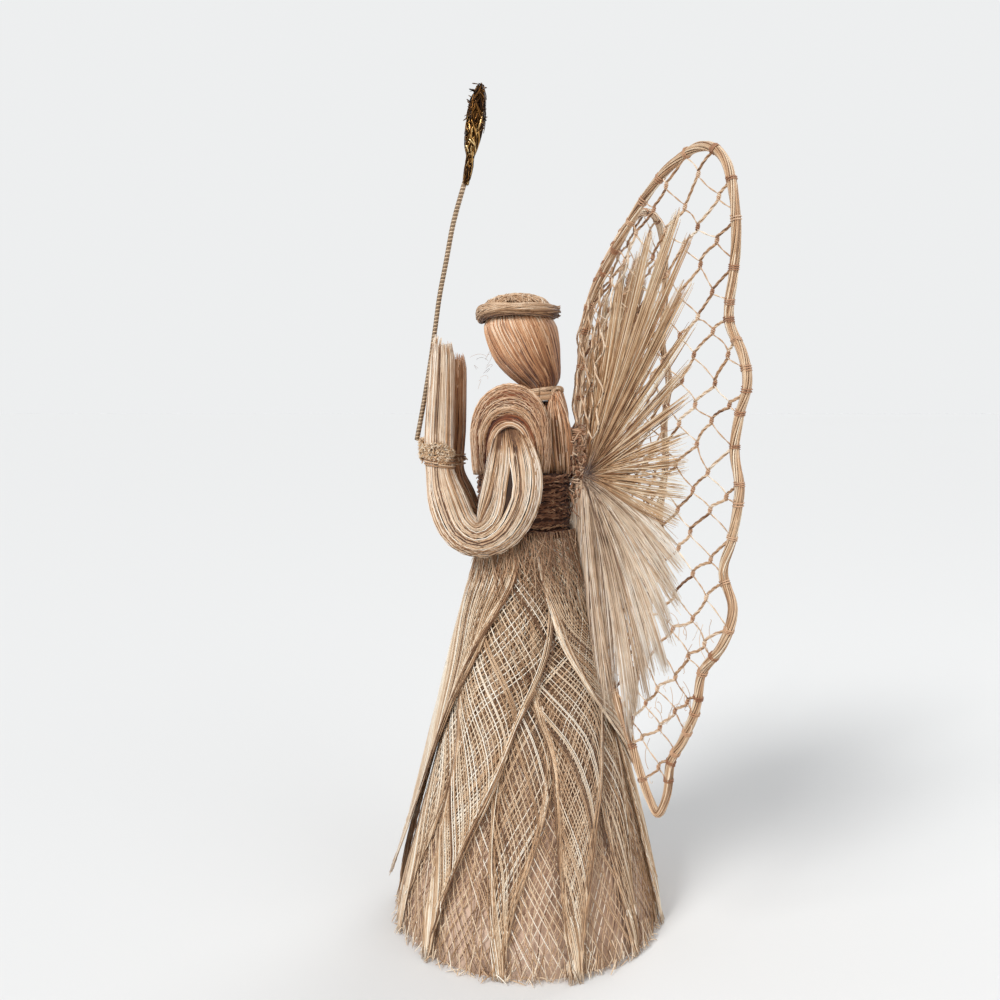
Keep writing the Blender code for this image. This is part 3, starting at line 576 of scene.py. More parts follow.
def waist():
    """Turns of two ply jute twine, with loose fibres that stand off them."""
    rows = [(0, WAIST_Y, 143.9, 14.6, 15.5), (0, WAIST_Y, 150, 14.9, 15.8), (0, WAIST_Y, 158, 14.9, 15.8),
            (0, WAIST_Y, 165.6, 14.6, 15.5)]
    Bundle(rows, count=30, level=True).core("waist_core", 1.0, JUTE, "jute", 0.05)
    twine = Strands()
    a = np.linspace(0, TURN, 64)
    for turn in range(WAIST_TURNS):
        height = 144.7 + 1.12 * turn
        lean = uniform(-0.7, 0.7)
        own = uniform(-0.1, 0.1)
        radius = 15.3 + uniform(-0.2, 0.2)
        for ply in range(2):
            for k in range(3):
                roll = 20 * a + np.pi * ply
                inner = -14 * a + 2.1 * k
                r = radius + 0.36 * np.cos(roll) + 0.26 * np.cos(inner)
                z = height + lean * np.sin(a + turn) + 0.3 * np.sin(7 * a + turn)
                z = z + 0.36 * np.sin(roll) + 0.26 * np.sin(inner)
                path = xyz(r * np.cos(a), WAIST_Y + (r + 0.9) * np.sin(a), z)
                twine.add(path, tone_near(0.42, 0.2, own), xyz(np.cos(a), np.sin(a), 0))
    waist_fuzz(twine)
    twine.make("waist_wrap_twine", 0.19, JUTE, "jute", "waist_wrap", flat=1.2)


def waist_fuzz(twine):
    t = steps(5)[:, None]
    for k in range(WAIST_FUZZ):
        a = uniform(0, TURN)
        cos, sin = math.cos(a), math.sin(a)
        start = np.array([15.2 * cos, WAIST_Y + 16.1 * sin, uniform(145, 165)])
        out = np.array([cos, sin, uniform(-0.9, 0.5)])
        side = np.array([-sin, cos, uniform(-0.4, 0.4)]) * uniform(-1, 1)
        path = start + out * t * uniform(0.3, 1.3) + side * t ** 1.5 * uniform(0.8, 3.2)
        twine.add(path, uniform(0.0, 0.9), out)


def waist_fringe():
    """Dark ends of the skirt's fibres that hang out under the twine."""
    fringe = Strands()
    t = steps(9)
    for k in range(WAIST_FRINGE):
        a = uniform(-1.3, 1.9)
        z = np.linspace(146, uniform(119, 141), 9)
        a = a + uniform(-0.25, 0.45) * t ** 1.3
        r = skirt_r(z) + 4.1 + uniform(-0.5, 1.3) * (0.3 + 0.7 * t)
        fringe.add(round_point(a, z, r), uniform(0.1, 0.8) + 0.2 * t, outward(a))
    fringe.make("waist_fringe", 0.12, FRINGE, "jute", flat=1.2)


def torso():
    form = Bundle(TORSO, level=True)
    form.core("torso_core_form", 0.95, BROWN, "straw_brown", 0.1)
    straws = Strands()
    lines = form.lay(120, 0.0, 1.0, 0.3, 0.08, 0.03, 12)
    straws.add_all(lines, uniform(0.0, 0.5, len(lines)))
    straws.make("torso_core_fibres", 0.3, TAN, "straw_brown", "torso_core", flat=1.3)


# Sleeves, for the left side

SLEEVE = [(8.4, -16.2, 166.2, 3.0, 3.0), (8.6, -16.4, 168.4, 3.3, 3.3), (10.4, -16.8, 174.5, 4.0, 3.2),
          (12.4, -16.6, 181.5, 4.7, 3.5), (13.2, -13.0, 188.2, 5.3, 5.0), (13.4, -6.6, 190.9, 5.5, 6.2),
          (13.3, -0.4, 188.4, 5.3, 5.4), (12.9, 3.4, 181.8, 4.8, 4.0), (11.6, 4.6, 174.5, 4.1, 3.1),
          (10.2, 4.6, 168.4, 3.0, 2.7), (10.2, 4.6, 166.2, 2.5, 2.5)]
SLEEVE_LIP = [(11.3, -13.0, 168), (13.4, -13.0, 175.5), (15.3, -11.9, 182.0), (16.0, -9.3, 184.4),
              (16.2, -6.4, 184.8), (16.0, -3.6, 184.2), (15.6, -1.0, 181.3), (14.4, 0.6, 175.5)]
INNER_ROLL = [(14.4, -13.4, 171.0), (15.9, -12.9, 177.0), (16.7, -10.9, 181.6), (17.0, -6.6, 183.8),
              (16.8, -2.3, 181.9), (16.1, 0.2, 177.2), (14.6, 1.2, 171.5)]


def sleeve(side, word):
    """Net rolled into an arch over the shoulder."""
    form = Bundle(mirrored(SLEEVE, side))
    # The dark core seen through the net is painted shade inside the roll.
    form.core(f"{word}_sleeve_roll", 0.93, SHADED_LIP, "straw_tan", 0.15, ridges=3, depth=0.04)
    net = Strands()
    for lean in (-1, 1):
        lines = form.wind(0.8, 22, 1.0 + 0.02 * lean, lean, 36)
        net.add_all(lines, tone_near(0.6, 0.2, count=len(lines)))
    for twist in (0.9, -0.7):
        lines = form.lay(92, -0.01, 1.01, twist, 0.12, 0.05, 27, 0.99)
        net.add_all(lines, tone_near(0.54, 0.28, count=len(lines)))
    net.make(f"{word}_sleeve_net", 0.13, SLEEVE_STRAW, "straw_tan", f"{word}_sleeve", flat=1.3)


def sleeve_edges(side, word):
    """The net's turned in edge, whose brown lip is partly painted shade in the fold, and the pale roll inside
    it.
    """
    lip = Strands()
    form = Bundle(even_rows(mirrored(SLEEVE_LIP, side), 1.5, 2.5), count=60)
    for path, up in form.lay(84, 0, 1, 1.2, 0.2, 0.05, 20):
        # Fibres towards the front, below y -10, are darker still: painted shade inside the opening.
        lip.add(path, tone_near(0.3, 0.18, -0.16 * (path[:, 1] < -10)), up)
    lip.make(f"{word}_sleeve_lip", 0.18, SHADED_LIP, "straw_tan", flat=1.4)
    roll = Strands()
    form = Bundle(even_rows(mirrored(INNER_ROLL, side), 0.95, 1.25), count=60)
    lines = form.lay(54, 0, 1, 1.1, 0.4, 0.12, 18)
    roll.add_all(lines, tone_near(0.56, 0.28, count=len(lines)))
    roll.make(f"{word}_sleeve_inner_roll", 0.14, SLEEVE_STRAW, "straw_tan", flat=1.4)


# Arms, for the left side from the shoulder to the hand

ARM = [(12.0, -7.4, 185.6, 1.8, 3.4), (14.8, -6.5, 180, 2.1, 4.8), (18.0, -5.4, 174.5, 2.6, 7.2),
       (20.6, -4.9, 166, 3.3, 9.4), (21.6, -6.0, 157, 3.6, 9.4), (21.0, -10.0, 148.4, 4.0, 8.0),
       (18.9, -17.0, 144.3, 4.4, 6.7), (16.3, -23.9, 147.6, 4.5, 6.8), (12.0, -28.4, 156.8, 4.6, 6.5),
       (7.2, -31.0, 165.6, 4.3, 4.9), (6.6, -31.5, 174.5, 4.3, 4.9), (5.6, -31.5, 181, 4.4, 4.9),
       (5.3, -30.9, 195, 4.8, 4.5), (5.3, -30.4, 207, 4.6, 4.0), (5.3, -30.6, 213, 3.8, 3.0)]
STRAP = [(14.6, -9.6, 182.0, 1.0, 1.6), (19.6, -10.6, 172.0, 1.3, 3.0), (23.2, -12.8, 161.0, 1.4, 3.2),
         (23.6, -15.0, 154.5, 1.4, 2.2), (21.6, -16.8, 150.0, 1.0, 0.9)]
# How far each hand lies back and how much shorter its arm is, then the arm's fibres. The right arm's darker
# fibres are partly darker straw, partly painted shade on the far side.
ARMS = [(1, "left", 0.0, 0.0, 220, PALE, "straw_pale"), (-1, "right", 3.8, 3.6, 170, TAN, "straw_brown")]
FRAYED_ENDS = 16


def arm(side, word, back, shorter, amount, material, slot):
    """Flat bundle of fibres, split a little at the elbow. back and shorter move its hand."""
    rows = []
    for x, y, z, out, across in mirrored(ARM, side):
        reach = min(1.0, max(0.0, (z - 140) / 40)) if y < -20 else 0.0
        rows.append((x, y + back * reach, z - (shorter if z > 205 else 0.0), out, across))
    form = Bundle(rows, count=160)
    # The core's lowest tone shows between the fibres as painted shade in the gaps.
    form.core(f"{word}_arm_core", 0.88, BROWN, slot, 0.0, rows=56, ridges=5, depth=0.02, end=0.955)
    slit = (side * 0.15, 0.215, 0.055, 0.1)
    lines = form.lay(amount, 0.0, 0.985, 0.16, 0.06, 0.035, 31, 0.97, 0.05, slit)
    lines += form.lay(amount // 4, 0.0, 0.99, -0.2, 0.2, 0.045, 31, 1.0, 0.05, slit)
    lines += form.lay(60, 0.86, 0.98, 0.1, 0.1, 0.05, 6, 0.6, 0.06)
    straws = Strands()
    for path, up in lines:
        x, y, z = path.T
        # Painted shade: darker under the forearm's front and where the arm runs up into the sleeve.
        under = np.clip((150 - z) / 14, 0, 1) * np.clip((-y - 5) / 8, 0, 1)
        sleeve_shade = np.clip((z - 173) / 7, 0, 1) * (y > -16)
        # The right arm's lower mean tone is partly painted shade on the far side.
        tone = tone_near(0.63 if side > 0 else 0.45, 0.25, -0.22 * under - 0.7 * sleeve_shade)
        straws.add(path, tone, up)
    straws.make(f"{word}_arm_fibres", 0.155, material, slot, f"{word}_arm", flat=1.5)


def arm_strap(side, word, material, slot):
    """Strands that cross the inside of the elbow."""
    strap = Strands()
    for path, up in Bundle(mirrored(STRAP, side), count=60).lay(64, 0.0, 1.0, 0.1, 0.1, 0.08, 15, 1.0, 0.04):
        # Darker towards the top, where the strap runs into the sleeve: painted shade.
        strap.add(path, tone_near(0.6, 0.29, -0.7 * np.clip((path[:, 2] - 171) / 9, 0, 1)), up)
    strap.make(f"{word}_arm_inner_strands", 0.14, material, slot, flat=1.5)


def hand_ends(side, word, back, shorter, material, slot):
    ends = []
    for k in range(FRAYED_ENDS):
        foot = np.array([side * uniform(2.5, 8), -33.0 + back + uniform(-1.4, 1.6), 207.0 - shorter])
        ends.append(foot + steps(6)[:, None] * uniform((-0.6, 0, 3), (0.6, 1.6, 7.6)))
    hand = Strands()
    hand.add_loose(ends)
    hand.make(f"{word}_hand_frayed_ends", 0.2, material, slot, flat=1.5)


def arms():
    for side, word, back, shorter, amount, material, slot in ARMS:
        arm(side, word, back, shorter, amount, material, slot)
        arm_strap(side, word, material, slot)
        hand_ends(side, word, back, shorter, material, slot)


def wrist_tie(side, word, y):
    thread = Strands()
    x = side * 6.8
    for k in range(6):
        path = ring((x, y), 4.75, 5.4, 168.3 + 0.65 * k, uniform(-1.0, 1.0), uniform(-0.4, 0.4))
        thread.add(path, uniform(0.1, 0.7))
    t = steps(8)[:, None]
    for k in range(3):
        a = uniform(3.6, 5.2) if side > 0 else uniform(0.2, 1.4)
        start = np.array([x + 5 * math.cos(a), y + 5.6 * math.sin(a), 170.5])
        go = np.array([math.cos(a), math.sin(a), uniform(-0.6, 0.6)])
        path = start + go * t * uniform(0.6, 1.6)
        path[:, 2:] -= t ** 2 * uniform(0, 2)
        thread.add(path, 0.6)
    thread.make(f"{word}_wrist_thread", 0.26, THREAD, "thread", f"{word}_wrist_tie", sides=4)


# Head and neck

HEAD = round_rows([(4.0, 191.2, 5.0), (4.0, 193.0, 4.6), (3.9, 195.6, 5.4), (2.9, 198.2, 8.0),
                   (1.2, 201.5, 10.1), (-0.6, 206, 11.8), (-2.0, 212, 12.8), (-3.0, 217.5, 12.8),
                   (-3.2, 221.2, 10.6)])
HEAD_FIBRES = 330
NECK_BUNDLE = [(0, 8.8, 194.6, 4.0, 3.0), (0, 10.6, 190.6, 4.8, 2.4), (0, 11.6, 186, 6.3, 2.5),
               (0, 11.6, 179, 6.2, 2.2), (0, 11.4, 172, 5.0, 2.0), (0, 11.2, 166, 4.0, 1.6)]
NECK_Y = 4.0
NECK_TURNS = 9
NECK_KNOT_LOOPS = 9
NECK_STRAWS = 110
SPREAD_STRAWS = 190


def head():
    form = Bundle(HEAD, count=100, level=True)
    form.core("head_form", 0.982, TAN, "straw_tan", 0.3, sides=48, ridges=9, depth=0.004)
    straws = Strands()
    for path, up in form.lay(HEAD_FIBRES, 0.0, 1.0, -0.75, 0.05, 0.008, 16, 0.992):
        # Painted light and shade: fibres paler towards the top and the front, darker below and behind.
        straws.add(path, tone_near(0.38, 0.24, 0.022 * (path[:, 2] - 207) - 0.012 * path[:, 1]), up)
    straws.make("head_fibres", 0.18, TAN, "straw_tan", "head", flat=1.7)


def neck_tie():
    twine = Strands()
    for k in range(NECK_TURNS):
        rx = 5.6 + 0.3 * rng.random()
        ry = 5.6 + 0.3 * rng.random()
        path = ring((0, NECK_Y), rx, ry, 191.3 + 0.52 * k, uniform(0.2, 1.5))
        twine.add(path, uniform(0.3, 0.8))
    t = np.linspace(0, 1.3 * TURN, 16)
    for k in range(NECK_KNOT_LOOPS):
        x, y, z = np.array([2.5, 10.2, 194.6]) + uniform(-0.7, 0.7, 3)
        knot = xyz(x + 1.5 * np.sin(0.7 * t + k), y + 1.4 * np.cos(t + k), z + 1.4 * np.sin(t + k))
        twine.add(knot, uniform(0.3, 0.9))
    twine.make("neck_tie_twine", 0.34, THREAD, "thread", "neck_tie", sides=5)


def neck_bundle():
    """Loose ends of the head's straws, laid down the back, and straws that spread to both sides."""
    form = Bundle(NECK_BUNDLE)
    form.core("neck_bundle_form", 0.85, TAN, "straw_tan", 0.25)
    lines = form.lay(NECK_STRAWS, 0.0, 1.0, 0.3, 0.15, 0.06, 12, 1.0, 0.04)
    for k in range(SPREAD_STRAWS):
        side = 1 if k % 2 else -1
        lean = uniform(-1.7, 1)
        wide = 1.5 if lean < 0 else 0.0
        points = [(side * uniform(1, 4), 8.6 + uniform(-0.6, 1.2), 194.0),
                  (side * uniform(3.5, 6.5 + wide), 10.6 + 2.6 * lean, 187.0),
                  (side * uniform(4.5, 7 + wide), 12.0 + 3.4 * lean, 178.0),
                  (side * uniform(3.5, 6.5 + wide), 13.0 + 3.0 * lean, 165.4)]
        lines.append((curve(points, 8), np.array([side, -0.3, 0.0])))
    straws = Strands()
    straws.add_all(lines, tone_near(0.55, 0.24, count=len(lines)))
    straws.make("neck_bundle_fibres", 0.19, TAN, "straw_tan", "neck_bundle", flat=1.5)


# Hat

HAT_Y = -4.0
HAT_RADIUS = 12.9
HAT_Z = 222.5
RIM_FIBRES = 76
RIM_ENDS = 34
CROWN = round_rows([(HAT_Y, 221.8, 9.6), (HAT_Y, 224, 10.4), (HAT_Y, 226.2, 8.8), (HAT_Y, 227.8, 5.4),
                    (HAT_Y, 228.2, 1.5)])
CROWN_FIBRES = 64
STRAY_HAIRS = 9


def hat_rim():
    """Rope of fibres round the head, thicker in front, with its darker seam at the back."""
    rope = Strands()
    a = np.pi / 2 + np.linspace(0, TURN, 62)
    front = np.clip(-np.sin(a), 0, 1) ** 5
    back = np.clip(np.sin(a), 0, 1) ** 6
    tall = 2.1 + 1.2 * front + 0.3 * back
    for k in range(RIM_FIBRES):
        layer = uniform(0.5, 1.0) ** 0.5
        roll = TURN * k / RIM_FIBRES + 0.5 * a + 0.5 * np.sin(2 * a + 0.7 * k)
        cos, sin = np.cos(roll), np.sin(roll)
        fold = layer * (1 + 0.07 * np.cos(2 * roll - 5 * a))
        r = HAT_RADIUS + 1.9 * fold * cos
        z = HAT_Z - 0.9 * front - 0.2 * back + tall * fold * sin
        first = int(rng.integers(0, 6)) if k % 3 == 0 else 0
        path = xyz(r * np.cos(a), HAT_Y + r * np.sin(a), z)
        # The sin term paints the rope's upper side paler and its underside darker: painted light and shade.
        tone = tone_near(0.51, 0.22, 0.25 * sin - 0.5 * back)
        rope.add(path[first:], tone[first:], xyz(cos * np.cos(a), cos * np.sin(a), sin)[first:])
    for k in range(RIM_ENDS):
        b = np.pi / 2 + normal(0, 0.28)
        start = np.array([14.0 * math.cos(b), HAT_Y + 14.0 * math.sin(b), uniform(220.6, 224.2)])
        go = np.array([uniform(-0.5, 0.5), 1.0, uniform(-0.8, 0.5)]) * uniform(0.4, 1.5)
        rope.add(start + steps(5)[:, None] * go, uniform(0.0, 0.35), np.array([1.0, 0.0, 0.0]))
    rope.make("hat_rim_roll", 0.19, RIM, "straw_brown", "hat_rim", flat=1.6)


def hat_crown():
    """Shallow dome woven of fibres that run two ways, over a closed form."""
    weave = Strands()
    s = np.linspace(-1, 1, 14)
    for way in (0, 1):
        for k in range(CROWN_FIBRES):
            off = -11.2 + 22.4 * (k + uniform(-0.3, 0.3)) / (CROWN_FIBRES - 1)
            half = math.sqrt(max(1.0, 11.8 ** 2 - off ** 2))
            x = off + 0.9 * np.sin(s * 2.4 + 0.2 * k)
            y = s * half
            if way:
                x, y = y, x
            z = 223.5 + 5.0 * np.sqrt(np.clip(1 - (x ** 2 + y ** 2) / 144, 0, 1)) + 0.15 * uniform(-1, 1)
            z = z + 0.2 * np.sin(off * 1.6) + 0.15 * np.sin(14 * s + np.pi * (k % 2) + 1.5 * way)
            weave.add(xyz(x, HAT_Y + y, z), tone_near(0.64 - 0.12 * way, 0.22), np.array([0.0, 0.0, 1.0]))
    Bundle(CROWN, count=40, level=True).core("hat_crown_form", 1.0, RIM, "straw_pale", 0.3)
    weave.make("hat_crown_fibres", 0.18, RIM, "straw_pale", "hat_crown", flat=1.6)


def stray_hairs():
    """Fine curls in the air between hand and head."""
    hairs = []
    t = steps(24)
    for k in range(STRAY_HAIRS):
        start = uniform((-3, -21.5, 194), (3, -15, 211))
        swing = uniform(2.0, 4.5)
        turn = phase()
        curl = swing * xyz(0.6 * np.sin(2 * t + turn), np.cos(2.2 * t + turn), np.sin(2.5 * t))
        hairs.append(start + curl * (0.5 + 0.5 * t[:, None]) + uniform(-3, 3, 3) * t[:, None])
    strands = Strands()
    strands.add_loose(hairs)
    strands.make("stray_hairs", 0.05, FRINGE, "straw_pale")


# Wand

WAND = [(0, -40.1, 177), (0, -37.4, 191), (0, -35.0, 205), (0, -33.2, 217), (0, -31.6, 228), (0, -29.2, 240),
        (0, -26.4, 254), (0, -22.0, 269)]
WIRE_RADIUS = 0.62
TUFT = [(0, -22.2, 266.5), (0, -21.0, 273), (0, -20.2, 279), (0, -18.9, 286), (0, -18.2, 292),
        (0, -17.0, 300)]
TUFT_HEIGHTS = [266, 271, 276, 280, 285, 291, 296, 299.5]
TUFT_RADII = [1.0, 1.6, 1.5, 2.8, 3.5, 3.3, 2.7, 1.4]
TUFT_TOP = 300.2
SPINE_POINTS = 60
TINSEL_STRIPS = 500
TINSEL_ENDS = 60
WRIST = np.array([6.6, -31.5, 172.9])
GLUE_FLECKS = 700


def wand():
    form = Bundle(even_rows(WAND, WIRE_RADIUS, WIRE_RADIUS))
    form.core("wand_wire", 1.0, GOLD, "tinsel", 0.5, sides=8, rows=60)
    thread = Strands()
    thread.add_all(form.wind(72, 2, 1.12, 1, 8), [0.66, 0.25])
    thread.make("wand_thread", 0.29, GOLD, "tinsel", "wand", sides=4, flat=1.3)


def tinsel_tuft():
    """Crumpled tinsel strips wound about the wand's tip, over a dark core, with ends that stand out."""
    spine = curve(TUFT, SPINE_POINTS)
    wide = np.interp(spine[:, 2], TUFT_HEIGHTS, TUFT_RADII)
    rows = [(*spine[i], 0.72 * wide[i], 0.72 * wide[i]) for i in range(0, SPINE_POINTS, 6)]
    Bundle(rows, count=40).core("tinsel_tuft_core", 1.0, TINSEL, "tinsel", 0.1, sides=16, rows=40, ridges=3,
                                depth=0.12)
    strips = Strands()
    places = np.arange(SPINE_POINTS)
    t = steps(6)
    for k in range(TINSEL_STRIPS):
        i = int(rng.integers(0, 57))
        a = uniform(0, TURN)
        at = np.clip(i + uniform(3, 9) * (t - 0.5) * 2.2, 0, 59)
        turn = a + uniform(-2.0, 2.0) * t
        spot = np.stack([np.interp(at, places, column) for column in spine.T], 1)
        reach = np.interp(at, places, wide) * uniform(0.75, 1.02) * (1 - 0.3 * t ** 3)
        out = xyz(np.cos(turn), np.sin(turn), 0)
        bright = uniform(0, 1) ** 1.7
        strips.add(spot + out * reach[:, None], bright * (0.35 if spine[i, 2] > 291 else 1.0), out)
    for k in range(TINSEL_ENDS):
        i = int(rng.integers(34, SPINE_POINTS))
        out = normalise(np.array([normal(), normal(), uniform(-0.6, 1.2)]))
        bend = normalise(normal(size=3))
        start = spine[i] + out * wide[i] * 0.8
        path = start + out * t[:, None] * uniform(0.6, 2.2) + bend * t[:, None] ** 2 * uniform(0.5, 1.5)
        path[:, 2] = np.minimum(path[:, 2], TUFT_TOP)
        strips.add(path, uniform(0, 0.4), out)
    strips.make("tinsel_tuft_strips", 0.13, TINSEL, "tinsel", "tinsel_tuft", flat=2.6)


def glue():
    """Lumpy bead that holds the wand to the wrist, and a patch of glitter flecks round the wrist."""
    around = np.linspace(0, TURN, 36, endpoint=False)
    u, v = np.meshgrid(np.linspace(0.02, np.pi - 0.02, 22), around, indexing="ij")
    bump = 1 + 0.08 * np.sin(3 * v + u * 2) + 0.07 * np.sin(5 * u + 2 * v) + 0.05 * np.sin(11 * v + 7 * u)
    lump = xyz(3.0 * np.sin(u) * np.cos(v), 2.5 * np.sin(u) * np.sin(v), -3.0 * np.cos(u)) * bump[..., None]
    tube("wrist_glue_bead", lump + np.array([2.2, -36.9, 175.2]), 0.5, GLUE, "glue", "wrist_glue")
    flecks = Strands()
    for k in range(GLUE_FLECKS):
        a = uniform(-2.2, 1.3)
        cos, sin = math.cos(a), math.sin(a)
        height = uniform(-1, 1) * (0.7 + 0.2 * math.sin(3 * a + 1) - 0.25 * max(0.0, a))
        bulge = 1.02 + 0.16 * math.sqrt(1 - height ** 2) * (0.6 + 0.4 * math.cos(a + 0.7)) * uniform(0.5, 1)
        out = np.array([cos, sin, 0.3 * normal()])
        lean = 1.2 * max(0.0, -sin)
        spot = WRIST + np.array([4.5 * bulge * cos, 5.1 * bulge * sin - lean, 4.6 * height + lean])
        go = normalise(normal(size=3)) * uniform(0.3, 0.8)
        flecks.add(spot + (go + 0.2 * out) * np.linspace(-1, 1, 3)[:, None], uniform(0.1, 1))
    flecks.make("wrist_glue_flecks", 0.18, GLUE, "glue", flat=1.4)


# Wings: points of their frame are distance out from the body, and height

SWEEP = math.radians(31)
ROOT_Y = 16.7
WING_FRAME = [(2.8, 164), (2.7, 184), (4.0, 203), (7.6, 220), (15.1, 232.7), (26.1, 244.5), (37.4, 254.8),
              (49.0, 262.2), (61.4, 266.0), (70.5, 264), (77.0, 256), (80.0, 241), (79.3, 227.6),
              (77.9, 214.8), (84.0, 204.6), (86.0, 196), (83.0, 187), (81.6, 177), (84.0, 166), (81.5, 152),
              (78.0, 141), (82.5, 131), (78.6, 119.5), (70.0, 109), (67.6, 97), (61.8, 85), (56.0, 76),
              (54.4, 65), (50.4, 56.6), (45.8, 59.6), (39.9, 67.5), (35.0, 76.3), (27.8, 87), (21.5, 98),
              (15.8, 112), (11.0, 126), (6.6, 143)]
OUTLINE = closed_curve(WING_FRAME, 7)
INNER_EDGE = np.array(WING_FRAME[:6])
ROD_RADIUS = 1.1
ROD_SIDES = 8
ROD_FIBRES = 20
COLUMN = 7.4
PITCH = 13.2
FIRST_COLUMN = 71.6
KNOT_Z = 184.6
KNOT_END = np.array([0, 0.8])
LONGEST_END = 15
# Strands of the net: mean tone and its spread, plies, radius of their coil and radius of a ply
RISING_STRAND = (0.46, 0.18, 3, 0.3, 0.25)
FALLING_STRAND = (0.66, 0.2, 2, 0.16, 0.15)
NET_CURLS = 46
EDGE_COLUMNS = 5


def wing(side, out, height, front):
    """Points from distance out, height and distance in front of the wing."""
    x = side * (out * math.cos(SWEEP) + front * math.sin(SWEEP))
    return xyz(x, ROOT_Y + out * math.sin(SWEEP) - front * math.cos(SWEEP), height)


def inside(x, y):
    """Whether a spot lies within the wing's outline."""
    x0, y0 = OUTLINE.T
    x1, y1 = np.roll(x0, -1), np.roll(y0, -1)
    crosses = ((y0 > y) != (y1 > y)) & (x < (x1 - x0) * (y - y0) / (y1 - y0 + 1e-12) + x0)
    return np.count_nonzero(crosses) % 2 == 1


def wing_rod(side, word):
    """Bent rod and its wrap. Gives its centre line, the length along it and two directions across it."""
    centre = wing(side, *np.vstack([OUTLINE, OUTLINE[:2]]).T, 0.0)
    length = np.append(0, np.cumsum(np.linalg.norm(np.diff(centre, axis=0), axis=1)))
    facing = np.array([side * math.sin(SWEEP), -math.cos(SWEEP), 0.0])
    inward = np.cross(normalise(np.gradient(centre, axis=0)), facing)
    wrap = Strands()
    for k in range(ROD_FIBRES):
        a = TURN * (k / ROD_FIBRES) + length / 16.0 + 0.3 * np.sin(length / 9 + k)
        r = 1.2 + 0.09 * np.sin(length / 6 + 3 * k) + 0.03 * normal()
        around = facing * (r * np.cos(a))[:, None] + inward * (r * np.sin(a))[:, None]
        wrap.add(centre + around, tone_near(0.56, 0.24, 0.14 * np.sin(length / 11 + k)), normalise(around))
    a = np.linspace(0, TURN, ROD_SIDES, endpoint=False)[:, None]
    spokes = facing * np.cos(a) + inward[:, None] * np.sin(a)
    tube(f"{word}_wing_rod", centre[:, None] + ROD_RADIUS * spokes, 0.1, ROD, "straw_tan")
    wrap.make(f"{word}_wing_frame_wrap", 0.21, ROD, "straw_tan", f"{word}_wing_frame", flat=1.5, taper=1.0)
    return centre, length, facing, inward


def knot_place(column, row):
    """Place of a knot in an even net, whose odd columns stand half a mesh higher."""
    return np.array([FIRST_COLUMN + column * COLUMN, KNOT_Z + (row + 0.5 * (column % 2)) * PITCH])


def frame_end(start, aim):
    """Where a strand that leaves start towards aim meets the frame, or None if that is too far."""
    reach = OUTLINE - start
    way = normalise(aim - start)
    along = reach @ way
    off = np.abs(reach[:, 0] * way[1] - reach[:, 1] * way[0])
    ahead = np.where((along > 0) & (off < 1.6), along, np.inf)
    first = np.argmin(ahead)
    near = np.isfinite(ahead[first]) and np.linalg.norm(reach[first]) < LONGEST_END
    return OUTLINE[first] if near else None


def net_layout():
    """Knots in staggered columns inside the frame, and the strands between them and out to the frame."""
    knots, strands = {}, []
    for c in range(-11, 3):
        for r in range(-14, 10):
            spot = knot_place(c, r)
            if inside(*spot) and np.min(np.linalg.norm(OUTLINE - spot, axis=1)) > 3.4:
                jitter = np.array([math.sin(3.1 * c + 1.7 * r), math.cos(2.3 * c + 2.9 * r)])
                knots[c, r] = spot + 1.1 * jitter
    for (c, r), knot in knots.items():
        lower = r if c % 2 else r - 1
        for step in (-1, 1):
            for row, end in ((lower, -KNOT_END), (lower + 1, KNOT_END)):
                other = knots.get((c + step, row))
                if other is None:
                    meets = frame_end(knot + end, knot_place(c + step, row) - end)
                    if meets is not None:
                        strands.append((knot + end, meets, False))
                elif step == 1:
                    strands.append((knot + end, other - end, True))
    return knots, strands


def net_threads(side, word, strands):
    """Thick twine one way and thin thread the other way, with loose curls and the gathered inner edge."""
    net = Strands()
    t = steps(7)
    for k, (start, end, full) in enumerate(strands):
        go = end - start
        across = np.array([-go[1], go[0]]) / np.linalg.norm(go)
        sag = uniform(-0.6, 0.6)
        turn = phase()
        mean, spread, plies, coil, radius = RISING_STRAND if go[0] * go[1] > 0 else FALLING_STRAND
        own = normal(mean, spread)
        for ply in range(plies):
            roll = 7 * t + 2.1 * ply + turn
            off = sag * np.sin(np.pi * t) + coil * np.cos(roll)
            flat = start + go * t[:, None] + off[:, None] * across
            front = 0.3 * np.sin(np.pi * t + k) + coil * np.sin(roll)
            if not full:
                front[-1] = 1.2 * (1 if k % 2 else -1)
            net.add(wing(side, *flat.T, front), np.clip(own + uniform(-0.25, 0.25), 0, 1), radius=radius)
    net_curls(net, side)
    for column in range(EDGE_COLUMNS):
        height = np.linspace(170 + uniform(0, 8), 226 + 4 * column, 60)
        edge = np.interp(height, INNER_EDGE[:, 1], INNER_EDGE[:, 0])
        bend = 0.9 * np.sin(0.19 * height + 2.3 * column) + 0.6 * np.sin(0.47 * height + column)
        zigzag = 1.2 * np.sin(np.pi * height / 6.4 + np.pi * (column % 2) + 0.4 * bend)
        for ply in range(4):
            roll = 1.1 * height + 1.6 * ply
            out = edge + 1.4 + 3.2 * column + zigzag + bend + 0.26 * np.cos(roll)
            front = 2.5 + 0.22 * np.sin(roll) + 0.5 * np.sin(0.3 * height + column)
            net.add(wing(side, out, height, front), uniform(0.2, 0.9))
    net.make(f"{word}_wing_net_threads", 0.17, THREAD, "thread", f"{word}_wing_net", flat=1.1, taper=1.0)


def net_curls(net, side):
    t = steps(12)
    for k in range(NET_CURLS):
        foot = uniform((44, 66), (76, 128))
        if inside(*foot):
            go = uniform((-5, -11), (5, 11))
            turn = phase()
            out = foot[0] + go[0] * t + 1.8 * np.sin(5 * t + turn)
            height = foot[1] + go[1] * t + 1.8 * np.cos(4 * t + turn)
            net.add(wing(side, out, height, 0.5 + 0.9 * np.sin(4 * t + turn)), uniform(0.3, 1), radius=0.09)


